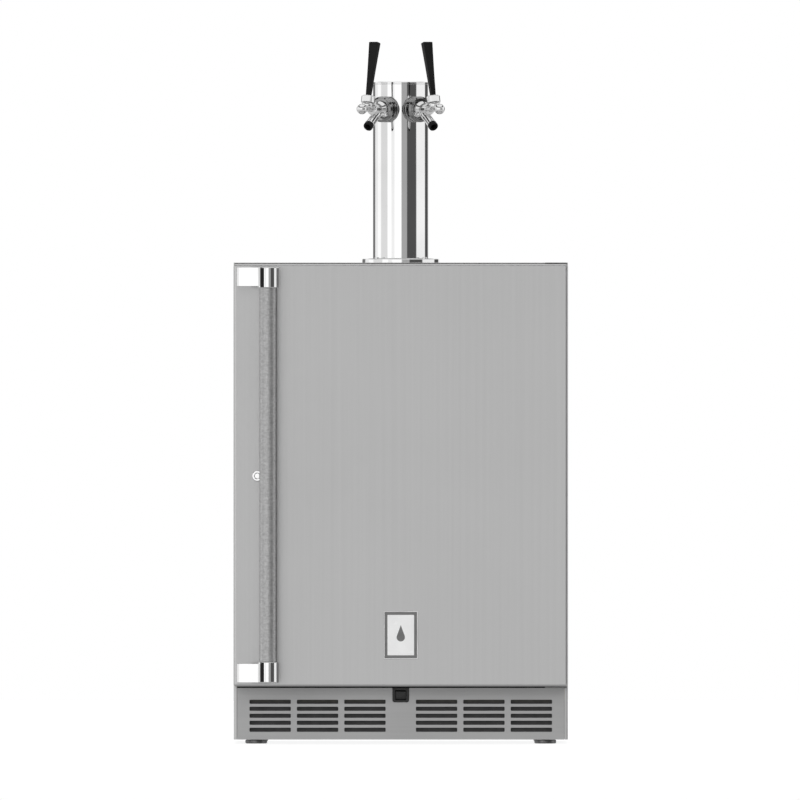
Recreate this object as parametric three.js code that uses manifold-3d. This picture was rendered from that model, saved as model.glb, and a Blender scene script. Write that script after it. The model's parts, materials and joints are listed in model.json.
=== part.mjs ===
// A two-tap kegerator: a 24-inch undercounter refrigerator with a solid hinged door, a key lock, a vented toe
// grille, and a draft tower on top with two taps. Millimetres, +Z up, the front faces -Y.
// The pieces are placed from the door's front face (y = 0), the cabinet's middle (x = 0) and the floor (z = 0).
// The last group moves them back so that the origin is under the middle of the whole object.
import * as THREE from 'three';
import { mergeVertices } from 'three/addons/utils/BufferGeometryUtils.js';
import Module from 'manifold-3d';

const wasm = await Module();
wasm.setup();

// ---------------------------------------------------------------- driving dimensions

const GAP = 0.3;                       // between pieces that touch on the real object
const ROUND = 20;                      // facets round an ordinary cylinder
const FINE = 32;                       // facets round a large or prominent cylinder

const WIDTH = 606.4;                   // 23 7/8 inches
const HEIGHT = 873;                    // floor to the top of the cabinet, 34 3/8 inches
const DEPTH = 610;                     // door front to cabinet back, 24 inches
const HALF = WIDTH / 2;
const SHEET = 1.5;                     // sheet metal

const DOOR_THICK = 51;
const DOOR_BOTTOM = 104;
const DOOR_TOP = 870.5;
const BODY_FRONT = DOOR_THICK + 8.3;   // the gasket fills the space between door and body

const CAVITY_HALF = 238;               // inside of the liner
const CAVITY_FLOOR = 125;
const CAVITY_CEILING = 823;
const CAVITY_BACK = 568;
const HUMP_FRONT = 474;                // the step over the compressor
const HUMP_TOP = 290;
const FOAM_BOTTOM = 80;
const MACHINE_FRONT = 504;             // compartment for the compressor
const MACHINE_TOP = 250;

const GRILLE_BOTTOM = 7.5;
const GRILLE_TOP = 101.2;
const SLOT_LENGTH = 75;
const SLOT_HEIGHT = 7.6;
const SLOT_PITCH = 86;
const SLOT_ROW_PITCH = 12.7;
const FIRST_SLOT = 65;                 // centre of the innermost slot in each half
const FIRST_ROW = 25.3;
const SWITCH_WIDTH = 30;
const SWITCH_HEIGHT = 26;

const HANDLE_X = -240;
const HANDLE_Y = -44;
const HANDLE_RADIUS = 16;
const FERRULE_RADIUS = 19;
const BRACKET_TOP = 863.9;
const BRACKET_BOTTOM = 111.9;
const BRACKET_TALL = 33.9;
const FERRULE_TALL = 36.8;

const LOCK_X = -260;
const LOCK_Z = 486;

const HINGE_X = 289;
const HINGE_Y = 20;
const PIN_RADIUS = 4;
const BUSH_BORE = 4.1;
const BUSH_RADIUS = 7;
const BUSH_LENGTH = 11.7;

const TOWER_Y = 305;
const TOWER_RADIUS = 50.8;             // a 4-inch tube
const TOWER_WALL = 2;
const FLANGE_RADIUS = 70.5;
const FLANGE_THICK = 8;
const TOWER_TOP = 1203.1;
const DUCT_RADIUS = 38;                // the hole for the beer lines

const TAP_Z = 1152.7;                  // height of the faucet's axis
const TAP_ANGLE = THREE.MathUtils.degToRad(28);
const SHANK_RADIUS = 11;
const NUT_RADIUS = 23.5;
const LEVER_OUT = 129;                 // the lever's pivot, from the tower's axis
const LEVER_UP = 7;                    // and above the faucet's axis
const LEVER_LEAN = THREE.MathUtils.degToRad(14);

const FOOT_X = 262.4;
const FOOT_INSET = 50;                 // foot centre from the body's front or back
const FOOT_RADIUS = 19.8;
const STUD_RADIUS = 6;

const PAN_BOTTOM = 9;
const PAN_THICK = 3;

const FAN_RADIUS = 40;
const FAN_DEPTH = 14;
const COOLER_FAN_Z = 720;
const MACHINE_FAN_Z = 120;

// ---------------------------------------------------------------- finishes

function finish(color, roughness, metalness) {
  return new THREE.MeshStandardMaterial({ color, roughness, metalness });
}

const STAINLESS = finish(0xb0b0b0, 0.35, 1);
const LINER_STEEL = finish(0xc4c6c8, 0.45, 1);
const CHROME = finish(0xe8e8ea, 0.08, 1);
const ETCHED_STEEL = finish(0x9a9a9a, 0.5, 1);
const GALVANISED = finish(0x9ea3a6, 0.55, 1);
const DARK_METAL = finish(0x4a4a4c, 0.4, 1);
const ALUMINIUM = finish(0xc8cacc, 0.5, 1);
const BLACK_PAINT = finish(0x1a1a1a, 0.6, 0);
const BLACK_PLASTIC = finish(0x1e1e1e, 0.45, 0);
const WHITE_PLASTIC = finish(0xe4e6e6, 0.5, 0);
const FROSTED_LENS = finish(0xf4f4ee, 0.4, 0);
const RUBBER = finish(0x3a3a3a, 0.85, 0);
const FOAM = finish(0xe2cf96, 0.95, 0);
const BRASS = finish(0xb08d4a, 0.35, 1);
const BADGE_WHITE = finish(0xf0f0f0, 0.25, 0.6);

// ---------------------------------------------------------------- shapes

// A box between two corners.
function box(x0, x1, y0, y1, z0, z1) {
  const geometry = new THREE.BoxGeometry(x1 - x0, y1 - y0, z1 - z0);
  return geometry.translate((x0 + x1) / 2, (y0 + y1) / 2, (z0 + z1) / 2);
}

// A box that cuts a rectangular hole from front to back, centred at x and z.
function throughHole(x, z, wide, tall) {
  return box(x - wide / 2, x + wide / 2, -DEPTH, 2 * DEPTH, z - tall / 2, z + tall / 2);
}

function outline(points) {
  return new THREE.Shape(points.map(([u, v]) => new THREE.Vector2(u, v)));
}

function rectangle(u0, u1, v0, v1) {
  return [[u0, v0], [u1, v0], [u1, v1], [u0, v1]];
}

function rectangleHole(u0, u1, v0, v1) {
  return new THREE.Path(rectangle(u0, u1, v0, v1).map(([u, v]) => new THREE.Vector2(u, v)));
}

function roundHole(u, v, radius) {
  return new THREE.Path().absarc(u, v, radius, 0, 2 * Math.PI, true);
}

function extrude(shape, depth, curveSegments = ROUND / 2) {
  return new THREE.ExtrudeGeometry(shape, { depth, curveSegments, bevelEnabled: false });
}

// An outline in x and y, standing from z0 to z1.
function standing(shape, z0, z1, curveSegments) {
  return extrude(shape, z1 - z0, curveSegments).translate(0, 0, z0);
}

// An outline in x and z, going back from y0 to y1.
function facing(shape, y0, y1, curveSegments) {
  return extrude(shape, y1 - y0, curveSegments).rotateX(Math.PI / 2).translate(0, y1, 0);
}

// An outline in y and z, going across from x0 to x1.
function across(shape, x0, x1, curveSegments) {
  const turn = new THREE.Matrix4().makeBasis(
    new THREE.Vector3(0, 1, 0),
    new THREE.Vector3(0, 0, 1),
    new THREE.Vector3(1, 0, 0),
  );
  return extrude(shape, x1 - x0, curveSegments).applyMatrix4(turn).translate(x0, 0, 0);
}

// A profile of [radius, distance along the axis] points turned about the Y axis. A profile that doesn't start and
// end on the axis is closed on itself, as a ring.
function turnedY(profile, facets = ROUND) {
  const points = profile.map(([radius, along]) => new THREE.Vector2(radius, along));
  const isRing = profile[0][0] > 0;
  if (isRing) points.push(points[0].clone());
  return new THREE.LatheGeometry(points, facets);
}

function turnedZ(profile, facets) {
  return turnedY(profile, facets).rotateX(Math.PI / 2);
}

function turnedX(profile, facets) {
  return turnedY(profile, facets).rotateZ(-Math.PI / 2);
}

// A ring's profile: a tube between two radii.
function tube(inner, outer, from, to) {
  return [[inner, from], [outer, from], [outer, to], [inner, to]];
}

function rod(radius, from, to) {
  return [[0, from], [radius, from], [radius, to], [0, to]];
}

// A skin over rings of points, closed by a flat face at each end.
function loft(rings) {
  const count = rings[0].length;
  const positions = rings.flat().flatMap((point) => point.toArray());
  const faces = [];
  for (let ring = 0; ring < rings.length - 1; ring += 1) {
    for (let i = 0; i < count; i += 1) {
      const a = ring * count + i;
      const b = ring * count + ((i + 1) % count);
      faces.push(a, b, b + count, a, b + count, a + count);
    }
  }
  const last = (rings.length - 1) * count;
  for (let i = 1; i < count - 1; i += 1) {
    faces.push(0, i + 1, i);
    faces.push(last, last + i, last + i + 1);
  }
  const geometry = new THREE.BufferGeometry();
  geometry.setAttribute('position', new THREE.Float32BufferAttribute(positions, 3));
  geometry.setIndex(faces);
  return geometry;
}

// ---------------------------------------------------------------- joining and cutting

// A closed geometry as a solid whose faces point out.
function solid(geometry) {
  const bare = geometry.clone();
  bare.deleteAttribute('normal');
  bare.deleteAttribute('uv');
  const merged = mergeVertices(bare, 1e-4);
  const vertProperties = new Float32Array(merged.attributes.position.array);
  const triVerts = new Uint32Array(merged.index.array);
  const made = new wasm.Manifold(new wasm.Mesh({ numProp: 3, vertProperties, triVerts }));
  if (made.volume() > 0) return made;
  return new wasm.Manifold(new wasm.Mesh({ numProp: 3, vertProperties, triVerts: triVerts.reverse() }));
}

function join(...geometries) {
  return geometries.map(solid).reduce((whole, piece) => whole.add(piece));
}

function cut(whole, ...geometries) {
  const start = whole.isBufferGeometry ? solid(whole) : whole;
  return geometries.map(solid).reduce((rest, piece) => rest.subtract(piece), start);
}

// The solid's vertices and triangles as a three.js geometry.
function geometryOf(made) {
  const mesh = made.getMesh();
  const geometry = new THREE.BufferGeometry();
  geometry.setAttribute('position', new THREE.Float32BufferAttribute(mesh.vertProperties, 3));
  geometry.setIndex(Array.from(mesh.triVerts));
  geometry.computeVertexNormals();
  return geometry;
}

function part(name, shape, material) {
  const made = shape.isBufferGeometry ? solid(shape) : shape;
  const mesh = new THREE.Mesh(geometryOf(made), material);
  mesh.name = name;
  return mesh;
}

// ---------------------------------------------------------------- cabinet shell

function shell() {
  const top = outline(rectangle(-HALF, HALF, BODY_FRONT, DEPTH));
  top.holes.push(roundHole(0, TOWER_Y, DUCT_RADIUS));
  const sideTop = HEIGHT - SHEET - GAP;
  const side = (x0) => box(x0, x0 + SHEET, BODY_FRONT, DEPTH, GRILLE_BOTTOM, sideTop);
  const inner = HALF - SHEET - GAP;
  const backSplit = MACHINE_TOP + 20;
  const back = box(-inner, inner, DEPTH - SHEET, DEPTH, backSplit, sideTop);
  return [
    part('side_panel_left', side(-HALF), STAINLESS),
    part('side_panel_right', side(HALF - SHEET), STAINLESS),
    part('top_panel', standing(top, HEIGHT - SHEET, HEIGHT), STAINLESS),
    part('back_panel', back, GALVANISED),
    machineCover(inner, backSplit - GAP),
    basePan(inner),
  ];
}

const INLET_X = 235;
const INLET_Z = 70;
const INLET_WIDTH = 30;
const INLET_HEIGHT = 24;

// The lower back cover, with vents and a cut-out for the mains inlet.
function machineCover(inner, top) {
  const cover = box(-inner, inner, DEPTH - SHEET, DEPTH, PAN_BOTTOM + PAN_THICK + GAP, top);
  const holes = [throughHole(INLET_X, INLET_Z, INLET_WIDTH + 2 * GAP, INLET_HEIGHT + 2 * GAP)];
  for (const column of [-1.5, -0.5, 0.5, 1.5]) {
    for (let row = 0; row < 6; row += 1) {
      holes.push(throughHole(column * 100, 110 + row * 20, 76, 8));
    }
  }
  return part('machine_cover', cut(cover, ...holes), GALVANISED);
}

function footPlaces() {
  const front = BODY_FRONT + FOOT_INSET;
  const back = DEPTH - FOOT_INSET;
  return [
    ['foot_front_left', -FOOT_X, front],
    ['foot_front_right', FOOT_X, front],
    ['foot_back_left', -FOOT_X, back],
    ['foot_back_right', FOOT_X, back],
  ];
}

// The tray that carries everything, with a threaded boss over each foot.
function basePan(inner) {
  const top = PAN_BOTTOM + PAN_THICK;
  const plate = box(-inner, inner, BODY_FRONT + 2.5, DEPTH - SHEET - GAP, PAN_BOTTOM, top);
  const bosses = footPlaces().map(([, x, y]) => turnedZ(rod(12, top - 1, 30)).translate(x, y, 0));
  const holes = footPlaces().map(([, x, y]) => turnedZ(rod(STUD_RADIUS + GAP + 0.1, 0, 40)).translate(x, y, 0));
  return part('base_pan', cut(join(plate, ...bosses), ...holes), GALVANISED);
}

function feet() {
  const pad = 6.6;
  const profile = [
    [0, 0], [FOOT_RADIUS - 2, 0], [FOOT_RADIUS, 1.6], [FOOT_RADIUS, pad - 1], [FOOT_RADIUS - 1, pad],
    [STUD_RADIUS, pad + 0.6], [STUD_RADIUS, 58], [STUD_RADIUS - 1, 59], [0, 59],
  ];
  return footPlaces().map(([name, x, y]) => part(name, turnedZ(profile).translate(x, y, 0), DARK_METAL));
}

// ---------------------------------------------------------------- insulation and liner

function insulation() {
  const side = HALF - SHEET - GAP;
  const back = DEPTH - SHEET - GAP;
  const top = HEIGHT - SHEET - GAP;
  const skin = SHEET + 2 * GAP;
  const block = box(-side, side, BODY_FRONT + 2.3, back, FOAM_BOTTOM, top);
  const half = CAVITY_HALF + skin;
  const low = CAVITY_FLOOR - skin;
  const high = CAVITY_CEILING + skin;
  const lower = box(-half, half, 0, HUMP_FRONT + skin, low, high);
  const upper = box(-half, half, 0, CAVITY_BACK + skin, HUMP_TOP - skin, high);
  const machine = box(-WIDTH, WIDTH, MACHINE_FRONT, DEPTH + 10, 0, MACHINE_TOP);
  const duct = turnedZ(rod(DUCT_RADIUS, CAVITY_CEILING - 10, HEIGHT + 10)).translate(0, TOWER_Y, 0);
  const switchRoom = box(-20, 20, 0, BODY_FRONT + 30, 0, GRILLE_TOP + 2);
  return part('insulation', cut(block, lower, upper, machine, duct, switchRoom), FOAM);
}

// The stainless liner: one sheet folded round the sides and back, a floor, a ceiling and the hump's folded sheet.
function liner() {
  const outer = CAVITY_HALF + SHEET;
  const front = BODY_FRONT + 2.3;
  const back = CAVITY_BACK + SHEET;
  const fold = outline([
    [-outer, front], [-CAVITY_HALF, front], [-CAVITY_HALF, CAVITY_BACK], [CAVITY_HALF, CAVITY_BACK],
    [CAVITY_HALF, front], [outer, front], [outer, back], [-outer, back],
  ]);
  const wrapSheet = standing(fold, CAVITY_FLOOR + GAP, CAVITY_CEILING - GAP);
  const step = box(-WIDTH, WIDTH, HUMP_FRONT + SHEET + GAP, DEPTH, 0, HUMP_TOP - SHEET - GAP);
  const ceiling = outline(rectangle(-outer, outer, front, back));
  ceiling.holes.push(roundHole(0, TOWER_Y, DUCT_RADIUS));
  const hump = outline([
    [HUMP_FRONT, CAVITY_FLOOR + GAP], [HUMP_FRONT + SHEET, CAVITY_FLOOR + GAP],
    [HUMP_FRONT + SHEET, HUMP_TOP - SHEET], [CAVITY_BACK - GAP, HUMP_TOP - SHEET],
    [CAVITY_BACK - GAP, HUMP_TOP], [HUMP_FRONT, HUMP_TOP],
  ]);
  const humpHalf = CAVITY_HALF - GAP;
  return [
    part('liner_wrap', cut(wrapSheet, step), LINER_STEEL),
    part('liner_floor', box(-outer, outer, front, HUMP_FRONT + SHEET, CAVITY_FLOOR - SHEET, CAVITY_FLOOR),
      LINER_STEEL),
    part('liner_ceiling', standing(ceiling, CAVITY_CEILING, CAVITY_CEILING + SHEET), LINER_STEEL),
    part('liner_hump', across(hump, -humpHalf, humpHalf), LINER_STEEL),
  ];
}

// The face that the door's gasket closes on.
function frontFrame() {
  const side = HALF - SHEET - GAP;
  const face = outline(rectangle(-side, side, DOOR_BOTTOM + 0.2, HEIGHT - SHEET - GAP));
  face.holes.push(rectangleHole(-CAVITY_HALF, CAVITY_HALF, CAVITY_FLOOR, CAVITY_CEILING));
  return part('front_frame', facing(face, BODY_FRONT, BODY_FRONT + 2), STAINLESS);
}

// ---------------------------------------------------------------- toe grille and power switch

function toeGrille() {
  const side = HALF - SHEET - GAP;
  const face = box(-side, side, BODY_FRONT, BODY_FRONT + SHEET, GRILLE_BOTTOM, GRILLE_TOP);
  const holes = [throughHole(0, GRILLE_TOP, SWITCH_WIDTH + 2 * GAP, 2 * (SWITCH_HEIGHT + GAP))];
  for (const sign of [-1, 1]) {
    for (let column = 0; column < 3; column += 1) {
      for (let row = 0; row < 5; row += 1) {
        const x = sign * (FIRST_SLOT + column * SLOT_PITCH);
        holes.push(throughHole(x, FIRST_ROW + row * SLOT_ROW_PITCH, SLOT_LENGTH, SLOT_HEIGHT));
      }
    }
  }
  return part('toe_grille', cut(face, ...holes), STAINLESS);
}

const ROCKER_TILT = THREE.MathUtils.degToRad(7);
const ROCKER_Y = BODY_FRONT + 4;
const ROCKER_Z = GRILLE_TOP - SWITCH_HEIGHT / 2;

// A black bezel in the grille's notch, and the rocker that pivots across it.
function powerSwitch() {
  const half = SWITCH_WIDTH / 2;
  const bezel = box(-half, half, BODY_FRONT - 1, BODY_FRONT + 22, GRILLE_TOP - SWITCH_HEIGHT, GRILLE_TOP);
  const pocket = box(-10, 10, 0, BODY_FRONT + 18, ROCKER_Z - 9, ROCKER_Z + 9);
  const dish = [[-7.6, -3.6], [0, -2.2], [7.6, -3.6], [7.6, 4], [3, 7], [-3, 7], [-7.6, 4]];
  const rocker = across(outline(dish.map(([along, deep]) => [deep, along])), -9.5, 9.5);
  const turned = rocker.rotateX(ROCKER_TILT).translate(0, ROCKER_Y, ROCKER_Z);
  return [
    part('switch_housing', cut(bezel, pocket), BLACK_PLASTIC),
    part('power_rocker', turned, BLACK_PLASTIC),
  ];
}

// ---------------------------------------------------------------- refrigeration

// A block of fins on a back plate, standing from z0 to z1.
function finnedBlock(x0, x1, y0, y1, z0, z1, fins) {
  const plate = 4;
  const pitch = (x1 - x0) / fins;
  const points = [[x1, y1], [x0, y1]];
  for (let i = 0; i < fins; i += 1) {
    const left = x0 + i * pitch;
    const right = left + pitch / 2;
    points.push([left, y0], [right, y0]);
    if (i < fins - 1) points.push([right, y1 - plate], [left + pitch, y1 - plate]);
  }
  points.push([x0 + (fins - 0.5) * pitch, y1 - plate], [x1, y1 - plate]);
  return standing(outline(points), z0, z1);
}

// A fan wheel that turns about the Z axis, with twisted blades on a hub.
function fanWheel(blades) {
  const hub = turnedZ([
    [0, 0], [12, 0], [14, 2], [14, FAN_DEPTH], [0, FAN_DEPTH],
  ]);
  const pieces = [hub];
  const reach = FAN_RADIUS - 10;
  for (let i = 0; i < blades; i += 1) {
    const blade = new THREE.BoxGeometry(reach, 22, 1.6).rotateX(THREE.MathUtils.degToRad(32));
    blade.translate(10 + reach / 2, 0, FAN_DEPTH / 2);
    pieces.push(blade.rotateZ((i * 2 * Math.PI) / blades));
  }
  return join(...pieces);
}

function refrigeration() {
  const floor = PAN_BOTTOM + PAN_THICK + GAP;
  const pot = turnedZ([
    [0, 0], [44, 0], [48, 6], [48, 76], [50, 78], [50, 84], [48, 86], [48, 140], [40, 158], [20, 166], [0, 168],
  ]).translate(-150, 556, 22);
  const foot = box(-215, -85, 512, 600, floor, 26);
  const condenser = finnedBlock(110, 210, 512, 600, floor, 200, 12);
  const evaporator = finnedBlock(-140, 140, 535, CAVITY_BACK - GAP, 640, 795, 18);
  return [
    part('compressor', join(pot, foot), BLACK_PAINT),
    part('condenser', condenser, ALUMINIUM),
    part('evaporator', evaporator, ALUMINIUM),
    ...machineFan(floor),
    ...coolerFan(),
  ];
}

// The condenser's fan blows along X through a square frame that carries its motor.
function machineFan(floor) {
  const x = 84;
  const y = 556;
  const frameHalf = 46;
  const plate = box(x - 14, x + 10, y - frameHalf, y + frameHalf, floor, MACHINE_FAN_Z + frameHalf);
  const bore = turnedX(rod(FAN_RADIUS + 2.5, x - 20, x + 20), FINE).translate(0, y, MACHINE_FAN_Z);
  const motor = turnedX(rod(15, x - 13, x - 5)).translate(0, y, MACHINE_FAN_Z);
  const strut = box(x - 13, x - 10, y - frameHalf, y + frameHalf, MACHINE_FAN_Z - 4, MACHINE_FAN_Z + 4);
  const frame = cut(plate, bore).add(join(motor, strut));
  const wheel = new THREE.Group();
  wheel.rotation.y = Math.PI / 2;
  wheel.position.set(x - 4.5, y, MACHINE_FAN_Z);
  wheel.add(part('condenser_fan', fanWheel(5), BLACK_PLASTIC));
  return [part('condenser_fan_frame', frame, BLACK_PLASTIC), wheel];
}

// The evaporator's fan blows forward through its cover.
function coolerFan() {
  const front = 500;
  const wall = 2;
  const cover = box(-160, 160, front, CAVITY_BACK - GAP, 615, 810);
  const inside = box(-160 + wall, 160 - wall, front + wall, DEPTH, 615 + wall, 810 - wall);
  const mouth = turnedY(rod(FAN_RADIUS + 2.5, 0, DEPTH), FINE).translate(0, 0, COOLER_FAN_Z);
  const returns = [-1, 0, 1].map((i) => box(i * 90 - 35, i * 90 + 35, front + 20, DEPTH - 60, 600, 625));
  const wheel = new THREE.Group();
  wheel.rotation.x = Math.PI / 2;
  wheel.position.set(0, front + 3 + FAN_DEPTH, COOLER_FAN_Z);
  wheel.add(part('evaporator_fan', fanWheel(5), BLACK_PLASTIC));
  return [part('evaporator_cover', cut(cover, inside, mouth, ...returns), WHITE_PLASTIC), wheel];
}

// ---------------------------------------------------------------- controls, light and inlet

const DIAL_X = 0;
const DIAL_Y = 90;
const MODULE_BOTTOM = 800;

function controls() {
  const ceiling = CAVITY_CEILING - GAP;
  const module = box(-60, 60, BODY_FRONT + 6, 150, MODULE_BOTTOM, ceiling);
  const dial = turnedZ([
    [0, MODULE_BOTTOM - 12], [12, MODULE_BOTTOM - 12], [14, MODULE_BOTTOM - 10.5],
    [15, MODULE_BOTTOM - GAP], [0, MODULE_BOTTOM - GAP],
  ]).translate(DIAL_X, DIAL_Y, 0);
  const lens = outline([
    [70, ceiling], [70, ceiling - 6], [74, ceiling - 9], [96, ceiling - 9], [100, ceiling - 6], [100, ceiling],
  ]);
  const inletBody = box(
    INLET_X - INLET_WIDTH / 2, INLET_X + INLET_WIDTH / 2, DEPTH - 26, DEPTH,
    INLET_Z - INLET_HEIGHT / 2, INLET_Z + INLET_HEIGHT / 2,
  );
  const socket = box(INLET_X - 12, INLET_X + 12, DEPTH - 16, DEPTH + 5, INLET_Z - 8.5, INLET_Z + 8.5);
  return [
    part('control_module', module, WHITE_PLASTIC),
    part('thermostat_dial', dial, BLACK_PLASTIC),
    part('interior_light', across(lens, 80, 220), FROSTED_LENS),
    part('power_inlet', cut(inletBody, socket), BLACK_PLASTIC),
  ];
}

// ---------------------------------------------------------------- hinges

const HINGE_PLATE = 2;

// An angle bracket: a plate in the seam over or under the door, a leg on the front frame and a pin into the door.
// up is 1 for the bottom hinge, whose pin and leg point up, and -1 for the top one.
function hinge(name, doorEdge, up) {
  const near = doorEdge - up * 0.5;
  const far = near - up * HINGE_PLATE;
  const level = (a, b) => [Math.min(a, b), Math.max(a, b)];
  const legBack = BODY_FRONT - GAP;
  const legFront = legBack - 2.3;
  const plate = box(262, 301, 8, legBack, ...level(near, far));
  const leg = box(262, 301, legFront, legBack, ...level(far, near + up * 34));
  const pin = turnedZ(rod(PIN_RADIUS, ...level(far, near + up * 11))).translate(HINGE_X, HINGE_Y, 0);
  return part(name, join(plate, leg, pin), DARK_METAL);
}

function hinges() {
  return [hinge('hinge_top', DOOR_TOP, -1), hinge('hinge_bottom', DOOR_BOTTOM, 1)];
}

// ---------------------------------------------------------------- door

function door() {
  const inner = HALF - SHEET - GAP;
  const low = DOOR_BOTTOM + SHEET + GAP;
  const high = DOOR_TOP - SHEET - GAP;
  const panelFront = DOOR_THICK - 2;
  const lockHole = (radius) => turnedY(rod(radius, -10, DOOR_THICK + 5)).translate(LOCK_X, 0, LOCK_Z);
  const bushPocket = turnedZ(rod(BUSH_RADIUS + GAP, DOOR_BOTTOM - 5, DOOR_BOTTOM + 12.6))
    .translate(HINGE_X, HINGE_Y, 0);
  const topPocket = turnedZ(rod(BUSH_RADIUS + GAP, DOOR_TOP - 12.6, DOOR_TOP + 5))
    .translate(HINGE_X, HINGE_Y, 0);
  const skin = cut(
    box(-HALF, HALF, 0, DOOR_THICK, DOOR_BOTTOM, DOOR_TOP),
    box(-HALF + SHEET, HALF - SHEET, SHEET, DOOR_THICK + 5, DOOR_BOTTOM + SHEET, DOOR_TOP - SHEET),
    lockHole(8.4), bushPocket, topPocket,
  );
  const foam = cut(
    box(-inner, inner, SHEET + GAP, panelFront - GAP, low, high),
    lockHole(9), bushPocket, topPocket,
  );
  const panel = cut(box(-inner, inner, panelFront, DOOR_THICK, low, high), lockHole(8.4));
  const around = (margin) => [
    -CAVITY_HALF - margin, CAVITY_HALF + margin, CAVITY_FLOOR - margin, CAVITY_CEILING + margin,
  ];
  const seal = outline(rectangle(...around(13)));
  seal.holes.push(rectangleHole(...around(3)));
  return [
    part('door_skin', skin, STAINLESS),
    part('door_foam', foam, FOAM),
    part('door_inner_panel', panel, WHITE_PLASTIC),
    part('door_gasket', facing(seal, DOOR_THICK + GAP, BODY_FRONT - GAP), RUBBER),
    ...bushes(),
    ...handle(),
    badge(),
    ...lock(),
  ];
}

function bushes() {
  const bush = (name, from) => {
    const ring = turnedZ(tube(BUSH_BORE, BUSH_RADIUS, from, from + BUSH_LENGTH));
    return part(name, ring.translate(HINGE_X, HINGE_Y, 0), BRASS);
  };
  return [
    bush('hinge_bush_top', DOOR_TOP - GAP - BUSH_LENGTH),
    bush('hinge_bush_bottom', DOOR_BOTTOM + GAP),
  ];
}

// A tube between two brackets. Each bracket is an arm from the door, a ferrule round the tube's end and a spigot
// inside it.
function handle() {
  const arm = new THREE.Shape();
  arm.moveTo(-297, -GAP);
  arm.lineTo(-297, -45);
  arm.absarc(-292, -45, 5, Math.PI, 1.5 * Math.PI, false);
  arm.lineTo(HANDLE_X, -50);
  arm.lineTo(HANDLE_X, -32);
  arm.lineTo(-256, -30);
  arm.absarc(-256, -16, 14, 1.5 * Math.PI, Math.PI, true);
  arm.lineTo(-270, -GAP);
  const spigotReach = 20;
  const spigotRadius = HANDLE_RADIUS - 2;
  // inward is the direction from this bracket to the other: 1 is up, -1 is down.
  const bracket = (name, end, inward) => {
    const span = (a, b) => [Math.min(a, b), Math.max(a, b)];
    const armSolid = standing(arm, ...span(end, end + inward * BRACKET_TALL), 4);
    const ferrule = turnedZ(rod(FERRULE_RADIUS, ...span(end, end + inward * FERRULE_TALL)), FINE);
    const spigot = turnedZ(rod(spigotRadius, ...span(end, end + inward * (FERRULE_TALL + spigotReach))));
    ferrule.translate(HANDLE_X, HANDLE_Y, 0);
    spigot.translate(HANDLE_X, HANDLE_Y, 0);
    return part(name, join(armSolid, ferrule, spigot), CHROME);
  };
  const tubeBottom = BRACKET_BOTTOM + FERRULE_TALL + GAP;
  const tubeTop = BRACKET_TOP - FERRULE_TALL - GAP;
  const grip = turnedZ(tube(HANDLE_RADIUS - 1.5, HANDLE_RADIUS, tubeBottom, tubeTop), FINE);
  return [
    part('handle_tube', grip.translate(HANDLE_X, HANDLE_Y, 0), ETCHED_STEEL),
    bracket('handle_bracket_top', BRACKET_TOP, -1),
    bracket('handle_bracket_bottom', BRACKET_BOTTOM, 1),
  ];
}

// A plain nameplate: a raised rim round a blank field.
function badge() {
  const half = 31;
  const low = 154;
  const high = 241;
  const rim = 4.5;
  const plate = box(-half, half, -3, -GAP, low, high);
  const field = box(-half + rim, half - rim, -5, -1.8, low + rim, high - rim);
  return part('badge_plate', cut(plate, field), BADGE_WHITE);
}

// A barrel through the door, and the core that turns in it and carries the cam behind the door.
function lock() {
  const bore = 5;
  const barrel = turnedY([
    [bore, -2.8], [9.2, -2.8], [10, -1.8], [10, -GAP], [8, -GAP], [8, DOOR_THICK + 1], [bore, DOOR_THICK + 1],
  ]);
  const core = turnedY(rod(bore - 0.15, -2.6, DOOR_THICK + 4.9));
  const cam = box(-5, 5, DOOR_THICK + 2.4, DOOR_THICK + 4.9, -24, 5);
  const keyway = box(-0.8, 0.8, -5, 2, -3.2, 3.2);
  const turning = cut(join(core, cam), keyway).translate([LOCK_X, 0, LOCK_Z]);
  return [
    part('lock_barrel', barrel.translate(LOCK_X, 0, LOCK_Z), CHROME),
    part('lock_core', turning, CHROME),
  ];
}

// The folded plate on the front frame whose lip the cam turns behind.
function lockStrike() {
  const back = BODY_FRONT - GAP;
  const lipFront = DOOR_THICK + 0.9;
  const lipBack = lipFront + 1.2;
  const fold = outline([
    [-299, back], [-299, back - 1.2], [-287.5, back - 1.2], [-287.5, lipFront], [-272, lipFront],
    [-272, lipBack], [-286.2, lipBack], [-286.2, back],
  ]);
  return part('lock_strike', standing(fold, LOCK_Z - 9, LOCK_Z + 9), GALVANISED);
}

// ---------------------------------------------------------------- draft tower

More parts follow.
